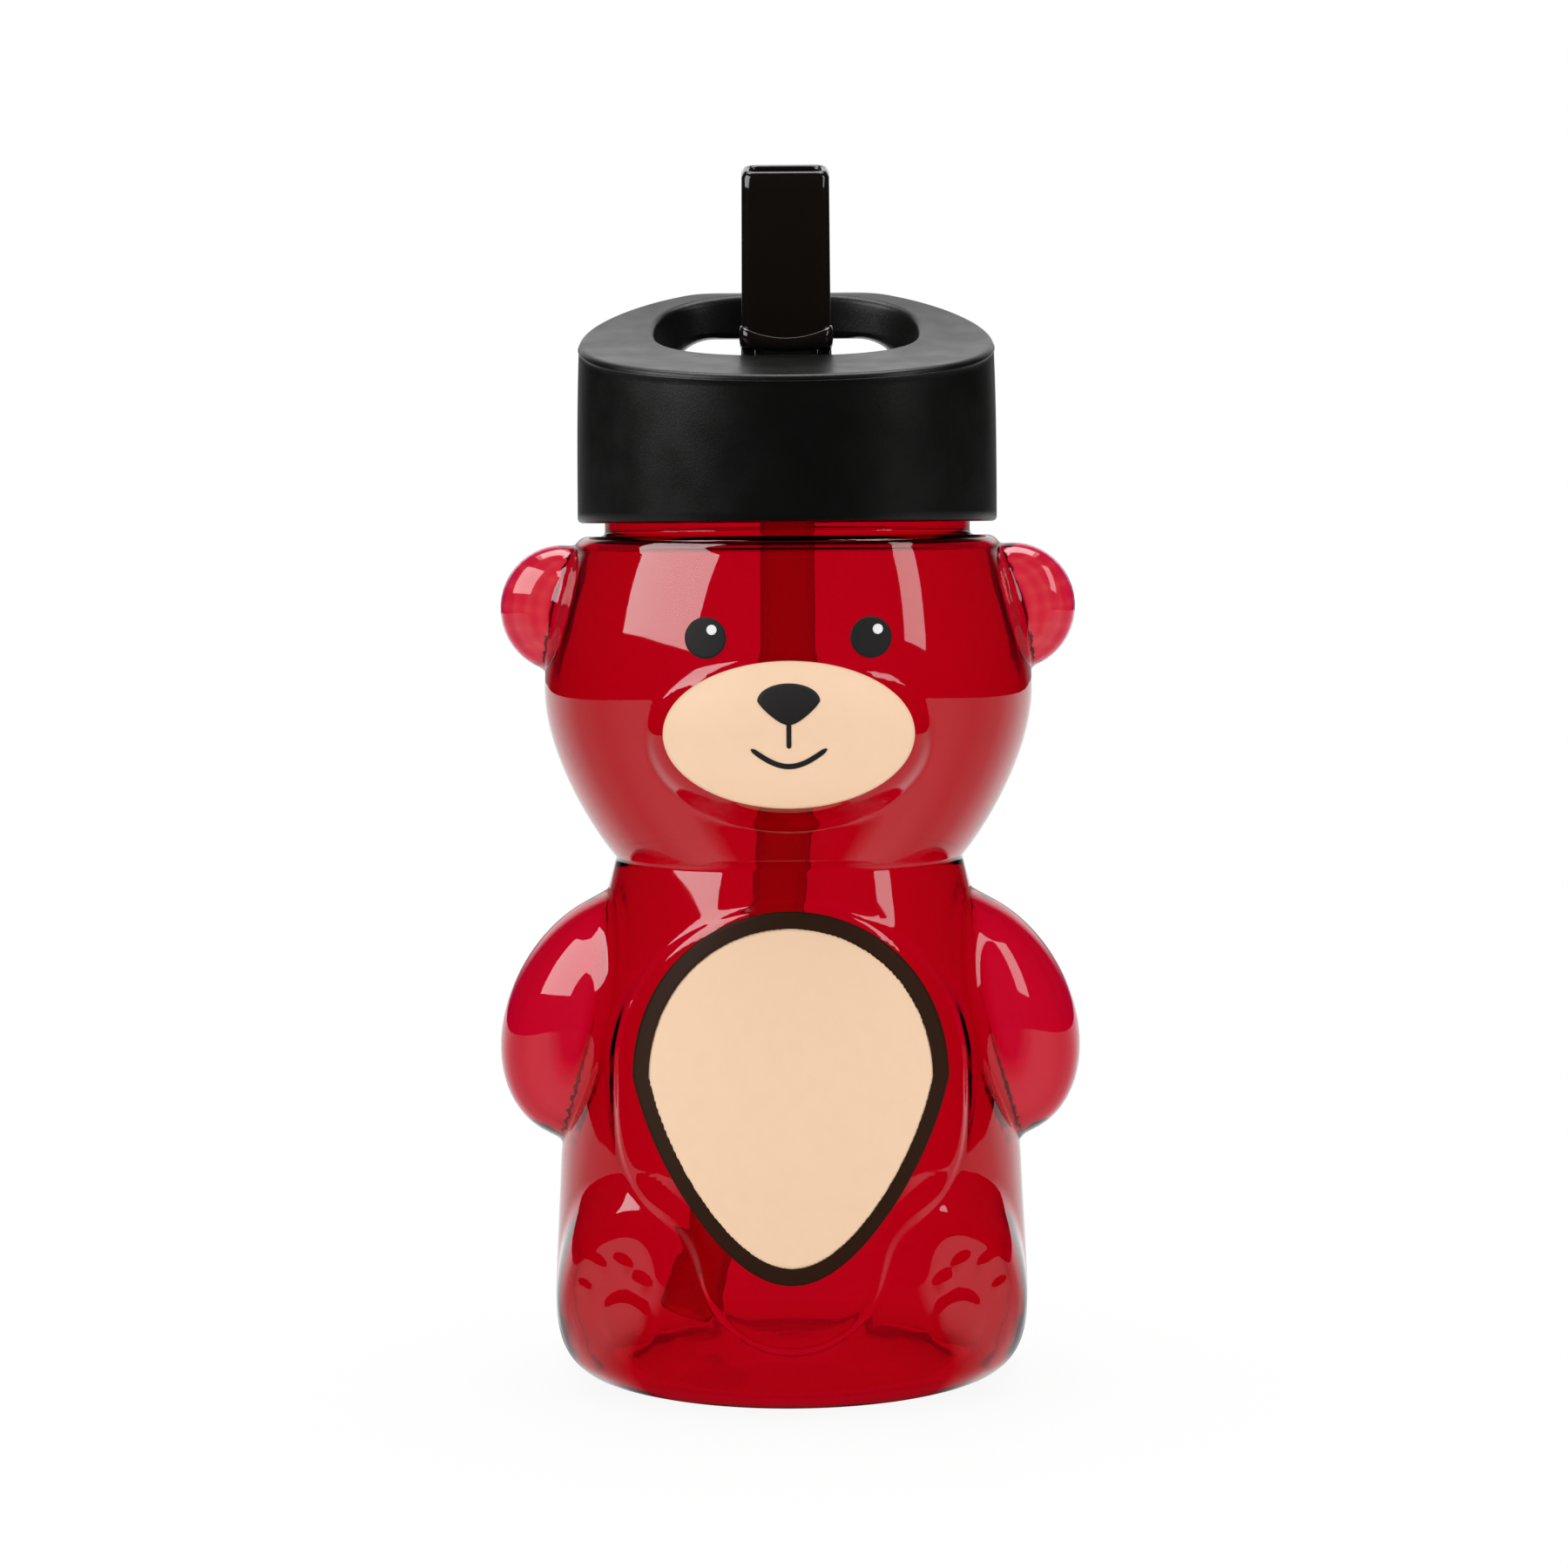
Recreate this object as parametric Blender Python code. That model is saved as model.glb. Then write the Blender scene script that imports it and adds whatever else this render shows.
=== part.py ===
"""Bear-shaped drinking bottle with a screw lid, a carry loop and a fold-down spout.

Units are metres, +Z is up and the bear faces -Y. Every length is a named value in
millimetres times MM. Shapes are built round the bottle's own axis, and one empty
places them so that the whole bottle stands centred on the origin.
"""

import math

import bmesh
import bpy
from mathutils import Matrix, Vector
from mathutils.geometry import interpolate_bezier

MM = 0.001
GAP = 0.3 * MM

# Blown bear body
WALL = 1.8 * MM
SHOULDER_RADIUS = 31.5 * MM
SHOULDER_HEIGHT = 124.0 * MM
SHOULDER_ROUNDING = 2.0 * MM
HEAD_RADIUS = 36.1 * MM
HEAD_BELOW_SHOULDER = 22.5 * MM
WAIST_RADIUS = 25.7 * MM
WAIST_BELOW_SHOULDER = 47.4 * MM
HIP_RADIUS = 34.3 * MM
HIP_HEIGHT = 31.0 * MM
BASE_RADIUS = 35.2 * MM
BASE_ROUNDING = 11.0 * MM
STANDING_RADIUS = 26.5 * MM
STANDING_WIDTH = 2.0 * MM
DIMPLE_HEIGHT = 4.2 * MM
BODY_STEPS = 60
SIDE_CROWDING = 0.25
OUTER_DETAIL = 1.0
INNER_DETAIL = 0.45

# Swellings of the body: how far out each centre lies, its place up the body and its half sizes
BLEND = 2.0 * MM
EAR_OUT = 33.4 * MM
EAR_BELOW_SHOULDER = 10.6 * MM
EAR_HALF_WIDTH = 9.2 * MM
EAR_HALF_DEPTH = 6.0 * MM
EAR_HALF_HEIGHT = 9.4 * MM
ARM_OUT = 27.1 * MM
ARM_BELOW_WAIST = 23.5 * MM
ARM_HALF_WIDTH = 14.6 * MM
ARM_HALF_DEPTH = 14.0 * MM
ARM_HALF_HEIGHT = 19.9 * MM
ARM_LEAN = math.radians(29.6)
MUZZLE_OUT = 24.0 * MM
MUZZLE_BELOW_SHOULDER = 27.6 * MM
MUZZLE_HALF_WIDTH = 21.0 * MM
MUZZLE_HALF_DEPTH = 17.0 * MM
MUZZLE_HALF_HEIGHT = 14.5 * MM
FOOT_OUT = 22.5 * MM
FOOT_TURN = math.radians(43.0)
FOOT_HEIGHT = 18.0 * MM
FOOT_RADIUS = 16.5 * MM
FOOT_HALF_HEIGHT = 18.5 * MM
FOOT_FADE = 5.0 * MM
EAR_TOP_LIFT = math.radians(40.0)

# Raised tummy panel: round above, squarer below, and a tongue that runs into it
TUMMY_RAISE = 0.8 * MM
TUMMY_EDGE = 3.0 * MM
TUMMY_BELOW_WAIST = 29.6 * MM
TUMMY_HALF_WIDTH = 24.8 * MM
TUMMY_UPPER_HEIGHT = 24.7 * MM
TUMMY_LOWER_HEIGHT = 20.9 * MM
TUMMY_LOWER_SQUARENESS = 3.5
TONGUE_HEIGHT = 22.0 * MM
TONGUE_HALF_WIDTH = 12.7 * MM
TONGUE_HALF_HEIGHT = 12.3 * MM
TONGUE_BLEND = 8.0 * MM

# Neck and its thread
NECK_RADIUS = 27.0 * MM
NECK_HEIGHT = 17.0 * MM
NECK_FILLET = 0.6 * MM
LIP_ROUNDING = 0.5 * MM
PITCH = 4.0 * MM
THREAD_DEPTH = 1.4 * MM
THREAD_ROOT_WIDTH = 2.4 * MM
THREAD_CREST_WIDTH = 1.0 * MM
NECK_TURNS = 1.5
LID_TURNS = 1.2
THREAD_RISE = 5.5 * MM
THREAD_STEPS = 28
THREAD_CREST_GAP = 0.5 * MM
THREAD_BITE = 0.5 * MM

# Lid
LID_WALL = 1.8 * MM
THREAD_ROOM = 2.2 * MM
SKIRT_GAP = 2.0 * MM
LID_FRONT_RISE = 20.4 * MM
LID_DRAFT = 0.35 * MM
RIM_ROUNDING = 0.8 * MM
RAMP_SLOPE = 0.171
LOOP_SLOPE = 0.367
LOOP_TOP_WIDTH = 3.5 * MM
CREASE_BLEND = 4.4 * MM
CREASE_STEP = 8.0 * MM
DECK_THICKNESS = 1.8 * MM
LID_STEPS = 64
WELL_CENTRE = 7.65 * MM
WELL_HALF_LENGTH = 17.95 * MM
WELL_HALF_WIDTH = 19.7 * MM
WELL_SQUARENESS = 2.5
WELL_STEPS = 40
ARCH_HALF_WIDTH = 18.0 * MM
ARCH_RISE = 9.1 * MM
ARCH_SILL = 0.4 * MM
ARCH_ROUNDING = 7.0 * MM
CORE_WALL = 2.0 * MM
CORE_RADIUS = 22.5 * MM

# Gasket, and the plug ring that centres it
GASKET_THICKNESS = 1.6 * MM
GASKET_ROUNDING = 0.4 * MM
PLUG_WALL = 1.2 * MM
PLUG_DEPTH = 3.6 * MM
PLUG_GAP = 0.8 * MM

# Spout: barrel, trunnions and spigot, between two cheeks on the deck
PIVOT_BACK = -5.4 * MM
PIVOT_RISE = 3.4 * MM
BARREL_RADIUS = 3.0 * MM
BARREL_HALF_WIDTH = 4.3 * MM
TRUNNION_RADIUS = 1.5 * MM
CHEEK_THICKNESS = 2.0 * MM
CHEEK_RADIUS = 3.0 * MM
SPIGOT_START = 4.0 * MM
SPIGOT_END = 12.0 * MM
SPIGOT_WALL_ROUNDING = 0.7 * MM
BORE_RADIUS = 1.5 * MM

# Soft mouthpiece that is pushed over the spigot
MOUTH_START = 2.9 * MM
MOUTH_LENGTH = 27.3 * MM
MOUTH_WIDTH = 13.0 * MM
MOUTH_DEPTH = 7.2 * MM
MOUTH_FLARE = 0.1 * MM
MOUTH_WALL = 1.1 * MM
MOUTH_CORNER = 1.8 * MM
MOUTH_SLANT = 2.0 * MM
COLLAR_HEIGHT = 2.1 * MM
COLLAR_PROUD = 0.35 * MM
COLLAR_DIP = 1.3 * MM
COLLAR_FOOT_DIP = 0.65 * MM
CORNER_STEPS = 4

# Soft seal under the barrel, which also grips the straw
SEAL_HEAD_RADIUS = 3.1 * MM
SEAL_DROP = 2.2 * MM
SEAL_WALL = 1.1 * MM
SEAL_LENGTH = 10.4 * MM
SOCKET_WALL = 1.5 * MM
SOCKET_LENGTH = 11.7 * MM

# Straw
STRAW_RADIUS = 4.0 * MM
STRAW_WALL = 0.8 * MM
STRAW_TOP_DROP = 1.2 * MM
STRAW_BEND_BELOW_SHOULDER = 24.0 * MM
STRAW_BEND_RADIUS = 269.0 * MM
STRAW_END = 9.5 * MM
STRAW_SIDES = 16
STRAW_RINGS = 10

# Vent valve in the deck
VALVE_RIGHT = 12.0 * MM
VALVE_BACK = 6.0 * MM
VALVE_STEM_RADIUS = 1.0 * MM
VALVE_CAP_RADIUS = 2.3 * MM
VALVE_CAP_HEIGHT = 0.8 * MM
VALVE_SKIRT_RADIUS = 2.8 * MM
VALVE_SKIRT_HEIGHT = 0.9 * MM

# Worked out from the sizes above
HEAD_HEIGHT = SHOULDER_HEIGHT - HEAD_BELOW_SHOULDER
WAIST_HEIGHT = SHOULDER_HEIGHT - WAIST_BELOW_SHOULDER
EAR_HEIGHT = SHOULDER_HEIGHT - EAR_BELOW_SHOULDER
ARM_HEIGHT = WAIST_HEIGHT - ARM_BELOW_WAIST
MUZZLE_HEIGHT = SHOULDER_HEIGHT - MUZZLE_BELOW_SHOULDER
TUMMY_HEIGHT = WAIST_HEIGHT - TUMMY_BELOW_WAIST
STRAW_BEND_START = SHOULDER_HEIGHT - STRAW_BEND_BELOW_SHOULDER
NECK_TOP = SHOULDER_HEIGHT + NECK_HEIGHT
NECK_INNER = NECK_RADIUS - WALL
LID_INNER = NECK_RADIUS + THREAD_ROOM
LID_RADIUS = LID_INNER + LID_WALL
LID_BOTTOM = SHOULDER_HEIGHT + SKIRT_GAP
LID_FRONT_TOP = LID_BOTTOM + LID_FRONT_RISE
SEAT = NECK_TOP + GAP + GASKET_THICKNESS + GAP
DECK = SEAT + DECK_THICKNESS
PLUG_RADIUS = NECK_INNER - PLUG_GAP
CREASE_TOP = LID_FRONT_TOP + LID_RADIUS * RAMP_SLOPE
LOOP_FLAT_START = LID_RADIUS - LOOP_TOP_WIDTH
LOOP_TOP = CREASE_TOP + LOOP_FLAT_START * LOOP_SLOPE
LID_TOP_RADIUS = LID_RADIUS - LID_DRAFT
WELL_FRONT = WELL_CENTRE - WELL_HALF_LENGTH
PIVOT_HEIGHT = DECK + PIVOT_RISE
CHEEK_INNER = BARREL_HALF_WIDTH + GAP
CHEEK_OUTER = CHEEK_INNER + CHEEK_THICKNESS
TRUNNION_END = CHEEK_OUTER - 0.2 * MM
SPIGOT_HALF_WIDTH = MOUTH_WIDTH / 2 - MOUTH_WALL - GAP
SPIGOT_HALF_DEPTH = MOUTH_DEPTH / 2 - MOUTH_WALL - GAP
SEAL_TOP = PIVOT_HEIGHT - SEAL_DROP
SEAL_SHOULDER = SEAT - GAP
STRAW_HOLE = STRAW_RADIUS + GAP
SEAL_RADIUS = STRAW_HOLE + SEAL_WALL
SOCKET_INNER = SEAL_RADIUS + GAP
SOCKET_RADIUS = SOCKET_INNER + SOCKET_WALL
STRAW_TOP = SEAT - STRAW_TOP_DROP
BOTTLE_SET_BACK = (MUZZLE_OUT + MUZZLE_HALF_DEPTH - HEAD_RADIUS) / 2

RED = (0.50, 0.004, 0.018)
BLACK = (0.012, 0.012, 0.012)
SOFT_BLACK = (0.02, 0.02, 0.02)
CLEAR_RED = (0.42, 0.003, 0.012)


def clear_scene():
    """Remove whatever the file holds."""
    for old in list(bpy.data.objects):
        bpy.data.objects.remove(old)


def material(name, colour, roughness, clear=0.0):
    """One plastic or rubber finish."""
    made = bpy.data.materials.new(name)
    made.use_nodes = True
    shader = made.node_tree.nodes["Principled BSDF"]
    shader.inputs["Base Color"].default_value = (*colour, 1.0)
    shader.inputs["Roughness"].default_value = roughness
    shader.inputs["Metallic"].default_value = 0.0
    shader.inputs["Transmission Weight"].default_value = clear
    return made


def piece(name, mesh_data, finish=None, parent=None):
    """Turn a bmesh into a named, smooth-shaded object."""
    mesh = bpy.data.meshes.new(name)
    bmesh.ops.recalc_face_normals(mesh_data, faces=mesh_data.faces)
    mesh_data.to_mesh(mesh)
    mesh_data.free()
    made = bpy.data.objects.new(name, mesh)
    bpy.context.scene.collection.objects.link(made)
    mesh.shade_smooth()
    mesh.set_sharp_from_angle(angle=math.radians(40))
    if finish:
        mesh.materials.append(finish)
    made.parent = parent
    return made


def combine(target, tool, operation):
    """Cut or add a guide shape, which is itself left out of the model."""
    tool.hide_render = True
    tool.display_type = "WIRE"
    step = target.modifiers.new(tool.name, "BOOLEAN")
    step.operation = operation
    step.solver = "EXACT"
    step.object = tool


def curve(start, end, first, second, count):
    """Smooth run from start to end. The handles are shares of the way across and down."""
    start, end = Vector(start), Vector(end)
    span = end - start
    handles = [start + Vector((span.x * s, span.y * t)) for s, t in (first, second)]
    run = interpolate_bezier(
        start.to_3d(), handles[0].to_3d(), handles[1].to_3d(), end.to_3d(), count + 1
    )
    return [Vector((p.x, p.y)) for p in run]


def smooth_step(low, high, value):
    """0 below low, 1 above high, and an easy run between."""
    share = min(1.0, max(0.0, (value - low) / (high - low)))
    return share * share * (3 - 2 * share)


def smooth_max(a, b, width):
    """The larger of two lengths, rounded where they meet."""
    overlap = max(width - abs(a - b), 0.0)
    return max(a, b) + overlap * overlap / (4 * width)


def body_outline(detail):
    """The bear's outer outline as (radius, height), from the middle of the base up."""
    ring_inner = STANDING_RADIUS - STANDING_WIDTH
    corner = SHOULDER_HEIGHT - SHOULDER_ROUNDING
    runs = [
        ((0.0, DIMPLE_HEIGHT), (ring_inner, 0.0), (0.6, 0.0), (0.88, 0.85), 3),
        ((STANDING_RADIUS, 0.0), (BASE_RADIUS, BASE_ROUNDING), (0.72, 0.0), (1.0, 0.32), 4),
        ((BASE_RADIUS, BASE_ROUNDING), (HIP_RADIUS, HIP_HEIGHT), (0.0, 0.2), (0.67, 0.65), 6),
        ((HIP_RADIUS, HIP_HEIGHT), (WAIST_RADIUS, WAIST_HEIGHT), (0.05, 0.24), (0.66, 0.77), 14),
        ((WAIST_RADIUS, WAIST_HEIGHT), (HEAD_RADIUS, HEAD_HEIGHT), (0.28, 0.13), (1.0, 0.6), 9),
        ((HEAD_RADIUS, HEAD_HEIGHT), (SHOULDER_RADIUS, corner), (0.0, 0.3), (0.46, 0.7), 8),
        (
            (SHOULDER_RADIUS, corner),
            (SHOULDER_RADIUS - SHOULDER_ROUNDING, SHOULDER_HEIGHT),
            (0.0, 0.55),
            (0.45, 1.0),
            2,
        ),
    ]
    outline = []
    for start, end, first, second, count in runs:
        points = curve(start, end, first, second, max(2, round(count * detail)))
        if outline and (outline[-1] - points[0]).length < GAP / 10:
            points = points[1:]
        outline += points
    return outline


def inset(outline, depth):
    """The same outline moved inwards by a wall."""
    moved = []
    for i, point in enumerate(outline):
        before = outline[max(i - 1, 0)]
        after = outline[min(i + 1, len(outline) - 1)]
        along = (after - before).normalized()
        moved.append(point + Vector((-along.y, along.x)) * depth)
    moved[0].x = 0.0
    return moved


def shell_outline():
    """Outline of the whole wall: up the outside and over the lip, then the lining."""
    outside = body_outline(OUTER_DETAIL)
    outside += [
        Vector((NECK_RADIUS + NECK_FILLET, SHOULDER_HEIGHT)),
        Vector((NECK_RADIUS, SHOULDER_HEIGHT + NECK_FILLET)),
        Vector((NECK_RADIUS, NECK_TOP - LIP_ROUNDING)),
        Vector((NECK_RADIUS - LIP_ROUNDING, NECK_TOP)),
        Vector((NECK_INNER + LIP_ROUNDING, NECK_TOP)),
        Vector((NECK_INNER, NECK_TOP - LIP_ROUNDING)),
        Vector((NECK_INNER, SHOULDER_HEIGHT - WALL + NECK_FILLET)),
        Vector((NECK_INNER + NECK_FILLET, SHOULDER_HEIGHT - WALL)),
    ]
    inside = inset(body_outline(INNER_DETAIL), WALL)
    return outside, inside[::-1]


def ellipsoid(centre, half_sizes, lean=0.0):
    """Centre, and the matrix that makes the swelling a unit ball."""
    shrink = Matrix.Diagonal([1 / half for half in half_sizes])
    return Vector(centre), shrink @ Matrix.Rotation(lean, 3, "Y")


def swellings(wall):
    """The ears, arms, muzzle and feet, each made smaller by a wall on the inside."""
    found = []
    for side in (-1, 1):
        ear = [half - wall for half in (EAR_HALF_WIDTH, EAR_HALF_DEPTH, EAR_HALF_HEIGHT)]
        arm = [half - wall for half in (ARM_HALF_WIDTH, ARM_HALF_DEPTH, ARM_HALF_HEIGHT)]
        foot = [half - wall for half in (FOOT_RADIUS, FOOT_RADIUS, FOOT_HALF_HEIGHT)]
        foot_centre = (
            side * FOOT_OUT * math.cos(FOOT_TURN),
            -FOOT_OUT * math.sin(FOOT_TURN),
            FOOT_HEIGHT,
        )
        found.append(ellipsoid((side * EAR_OUT, 0, EAR_HEIGHT), ear))
        found.append(ellipsoid((side * ARM_OUT, 0, ARM_HEIGHT), arm, side * ARM_LEAN))
        found.append(ellipsoid(foot_centre, foot))
    muzzle = [half - wall for half in (MUZZLE_HALF_WIDTH, MUZZLE_HALF_DEPTH, MUZZLE_HALF_HEIGHT)]
    found.append(ellipsoid((0, -MUZZLE_OUT, MUZZLE_HEIGHT), muzzle))
    return found


def reach(point, direction, swelling):
    """How far along a ray its swelling's skin lies. It runs on below zero past the edge."""
    centre, to_ball = swelling
    start = to_ball @ (point - centre)
    step = to_ball @ direction
    a, b, c = step.dot(step), start.dot(step), start.dot(start) - 1
    inside = b * b - a * c
    root = math.sqrt(abs(inside))
    return (-b + (root if inside > 0 else -root)) / a


def tummy_raise(point):
    """How much the tummy panel stands out at a point of the front."""
    if point.y > 0:
        return 0.0
    upper = point.z > TUMMY_HEIGHT
    power = 2.0 if upper else TUMMY_LOWER_SQUARENESS
    tall = TUMMY_UPPER_HEIGHT if upper else TUMMY_LOWER_HEIGHT
    across = abs(point.x) / TUMMY_HALF_WIDTH
    along = abs(point.z - TUMMY_HEIGHT) / tall
    panel = (1 - (across**power + along**power) ** (1 / power)) * TUMMY_LOWER_HEIGHT
    off = math.hypot(point.x / TONGUE_HALF_WIDTH, (point.z - TONGUE_HEIGHT) / TONGUE_HALF_HEIGHT)
    inside = smooth_max(panel, (1 - off) * TONGUE_HALF_HEIGHT, TONGUE_BLEND)
    return TUMMY_RAISE * smooth_step(-TUMMY_EDGE / 2, TUMMY_EDGE / 2, inside)


def swell(point, found, floor):
    """Move one point of the turned body out to the skin of the bear."""
    radius = math.hypot(point.x, point.y)
    low_fade = smooth_step(floor, floor + FOOT_FADE, point.z)
    if low_fade == 0 or point.z > SHOULDER_HEIGHT or radius < NECK_INNER - WALL:
        return point
    lift = EAR_TOP_LIFT * smooth_step(
        EAR_HEIGHT - EAR_HALF_HEIGHT, SHOULDER_HEIGHT - SHOULDER_ROUNDING, point.z
    )
    outward = Vector((point.x, point.y, 0)) / radius
    direction = outward * math.cos(lift) + Vector((0, 0, math.sin(lift)))
    out = 0.0
    for one in found:
        out = smooth_max(out, reach(point, direction, one), BLEND)
    return point + direction * out * low_fade + outward * tummy_raise(point)


def spin_outline(shape, outline, steps, lining=0):
    """Turn an outline once round the Z axis. The last few points are marked as lining."""
    layer = shape.verts.layers.int.new("lining")
    made = [shape.verts.new((p.x, 0, p.y)) for p in outline]
    for vert in made[len(made) - lining :]:
        vert[layer] = 1
    edges = [shape.edges.new(pair) for pair in zip(made, made[1:])]
    bmesh.ops.spin(
        shape,
        geom=made + edges,
        cent=(0, 0, 0),
        axis=(0, 0, 1),
        angle=math.tau,
        steps=steps,
        use_merge=True,
    )
    bmesh.ops.remove_doubles(shape, verts=shape.verts, dist=GAP / 100)
    return layer


def turned(name, outline, steps, finish=None, parent=None, place=(0, 0, 0)):
    """A solid of revolution from (radius, height) pairs. A ring's outline is closed."""
    shape = bmesh.new()
    points = [Vector(p) for p in outline]
    if min(p.x for p in points) > 0:
        points.append(points[0])
    spin_outline(shape, points, steps)
    bmesh.ops.translate(shape, verts=shape.verts, vec=place)
    return piece(name, shape, finish, parent)


def thread_ridge(name, root, crest, start_height, turns):
    """One helical thread ridge that rises with the pitch and fades in at both ends."""
    shape = bmesh.new()
    steps = round(THREAD_STEPS * turns)
    rings = []
    for i in range(steps + 1):
        share = i / steps
        angle = math.tau * turns * share
        height = start_height + PITCH * turns * share
        ends = smooth_step(0, 2.5 / steps, share) * smooth_step(0, 2.5 / steps, 1 - share)
        full = 0.1 + 0.9 * ends
        tip = root + (crest - root) * full
        section = [
            (root, -THREAD_ROOT_WIDTH / 2),
            (tip, -THREAD_CREST_WIDTH / 2),
            (tip, THREAD_CREST_WIDTH / 2),
            (root, THREAD_ROOT_WIDTH / 2),
        ]
        rings.append(
            [
                shape.verts.new((r * math.cos(angle), r * math.sin(angle), height + up))
                for r, up in section
            ]
        )
    join_rings(shape, rings)
    shape.faces.new(rings[0])
    shape.faces.new(rings[-1])
    return piece(name, shape)


def join_rings(shape, rings):
    """Skin a row of rings that all have the same number of vertices."""
    for one, other in zip(rings, rings[1:]):
        count = len(one)
        for i in range(count):
            j = (i + 1) % count
            shape.faces.new((one[i], one[j], other[j], other[i]))


def rounded_oblong(half_width, half_depth, corner):
    """Points of a rectangle with round corners, anticlockwise."""
    points = []
    for quarter in range(4):
        across = 1 if quarter in (0, 3) else -1
        along = 1 if quarter in (0, 1) else -1
        centre = (across * (half_width - corner), along * (half_depth - corner))
        for i in range(CORNER_STEPS + 1):
            angle = (quarter + i / CORNER_STEPS) * math.pi / 2
            points.append(
                (centre[0] + corner * math.cos(angle), centre[1] + corner * math.sin(angle))
            )
    return points


def prism(name, points, low, high, turn=None):
    """Extrude a flat outline from low to high, then turn it if asked."""
    shape = bmesh.new()
    face = shape.faces.new([shape.verts.new((x, y, low)) for x, y in points])
    made = bmesh.ops.extrude_face_region(shape, geom=[face])
    top = [v for v in made["geom"] if isinstance(v, bmesh.types.BMVert)]
    bmesh.ops.translate(shape, verts=top, vec=(0, 0, high - low))
    if turn:
        bmesh.ops.transform(shape, verts=shape.verts, matrix=turn)
    return piece(name, shape)


def make_bottle(finish, parent):
    """The hollow bear with its open, threaded neck."""
    outside, inside = shell_outline()
    shape = bmesh.new()
    layer = spin_outline(shape, outside + inside, BODY_STEPS, len(inside))
    skin, lining = swellings(0.0), swellings(WALL)
    for vert in shape.verts:
        angle = math.atan2(vert.co.y, vert.co.x)
        crowd = Matrix.Rotation(-SIDE_CROWDING / 2 * math.sin(2 * angle), 3, "Z")
        found, floor = (lining, WALL) if vert[layer] else (skin, 0.0)
        vert.co = swell(crowd @ vert.co, found, floor)
    bottle = piece("bottle", shape, finish, parent)
    ridge = thread_ridge(
        "neck_thread",
        NECK_RADIUS - THREAD_BITE,
        NECK_RADIUS + THREAD_DEPTH,
        SHOULDER_HEIGHT + THREAD_RISE,
        NECK_TURNS,
    )
    ridge.parent = parent
    combine(bottle, ridge, "UNION")
    return bottle


def lid_height(y):
    """Height of the lid's top face, which climbs to the carry loop at the back."""
    front = CREASE_TOP + y * RAMP_SLOPE
    back = CREASE_TOP + y * LOOP_SLOPE
    return min(smooth_max(front, back, CREASE_BLEND), LOOP_TOP)


def lid_blank():
    """The lid's outside as one solid: a drum with a rounded rim and a sloping top."""
    shape = bmesh.new()
    bmesh.ops.create_circle(shape, cap_ends=True, radius=LID_RADIUS, segments=LID_STEPS)
    bmesh.ops.translate(shape, verts=shape.verts, vec=(0, 0, LID_BOTTOM))
    made = bmesh.ops.extrude_face_region(shape, geom=list(shape.faces))
    top = [v for v in made["geom"] if isinstance(v, bmesh.types.BMVert)]
    bmesh.ops.translate(shape, verts=top, vec=(0, 0, LID_FRONT_TOP - LID_BOTTOM))
    narrower = LID_TOP_RADIUS / LID_RADIUS
    bmesh.ops.scale(shape, verts=top, vec=(narrower, narrower, 1))
    rim = [e for e in shape.edges if all(v in top for v in e.verts)]
    bmesh.ops.bevel(
        shape,
        geom=rim,
        offset=RIM_ROUNDING,
        segments=3,
        profile=0.5,
        affect="EDGES",
        material=-1,
    )
    for line in [CREASE_STEP * i for i in range(-2, 3)] + [LOOP_FLAT_START]:
        bmesh.ops.bisect_plane(
            shape,
            geom=list(shape.verts) + list(shape.edges) + list(shape.faces),
            dist=GAP / 100,
            plane_co=(0, line, 0),
            plane_no=(0, 1, 0),
        )
    for vert in shape.verts:
        if vert.co.z > LID_FRONT_TOP - RIM_ROUNDING - GAP:
            vert.co.z += lid_height(vert.co.y) - LID_FRONT_TOP
    return shape


def well_outline():
    """Plan of the well that the spout folds into: a squared-off oval."""
    points = []
    for i in range(WELL_STEPS):
        angle = math.tau * i / WELL_STEPS
        c, s = math.cos(angle), math.sin(angle)
        power = 2 / WELL_SQUARENESS
        points.append(
            (
                WELL_HALF_WIDTH * math.copysign(abs(c) ** power, c),
                WELL_CENTRE + WELL_HALF_LENGTH * math.copysign(abs(s) ** power, s),
            )
        )
    return points


def arch_outline():
    """The finger gap under the carry loop, as (across, up) above its sill."""
    points = [(ARCH_HALF_WIDTH, 0.0)]
    for side in (1, -1):
        centre = (side * (ARCH_HALF_WIDTH - ARCH_ROUNDING), ARCH_RISE - ARCH_ROUNDING)
        for i in range(7):
            share = i / 6 if side > 0 else 1 - i / 6
            angle = share * math.pi / 2
            points.append(
                (
                    centre[0] + side * ARCH_ROUNDING * math.cos(angle),
                    centre[1] + ARCH_ROUNDING * math.sin(angle),
                )
            )
    points.append((-ARCH_HALF_WIDTH, 0.0))
    return points


def cheek_outline():
    """Side view of one pivot cheek: a post with a round head, as (back, up)."""
    points = [(PIVOT_BACK - CHEEK_RADIUS, DECK - THREAD_BITE)]
    points.append((PIVOT_BACK + CHEEK_RADIUS, DECK - THREAD_BITE))
    for i in range(13):
        angle = math.pi * i / 12
        points.append(
            (
                PIVOT_BACK + CHEEK_RADIUS * math.cos(angle),
                PIVOT_HEIGHT + CHEEK_RADIUS * math.sin(angle),
            )
        )
    return points


def along_x(outline, low, high, name):
    """Extrude a (back, up) outline across the lid."""
    turn = Matrix(((0, 0, 1, 0), (1, 0, 0, 0), (0, 1, 0, 0), (0, 0, 0, 1)))
    return prism(name, outline, low, high, turn)


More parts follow.
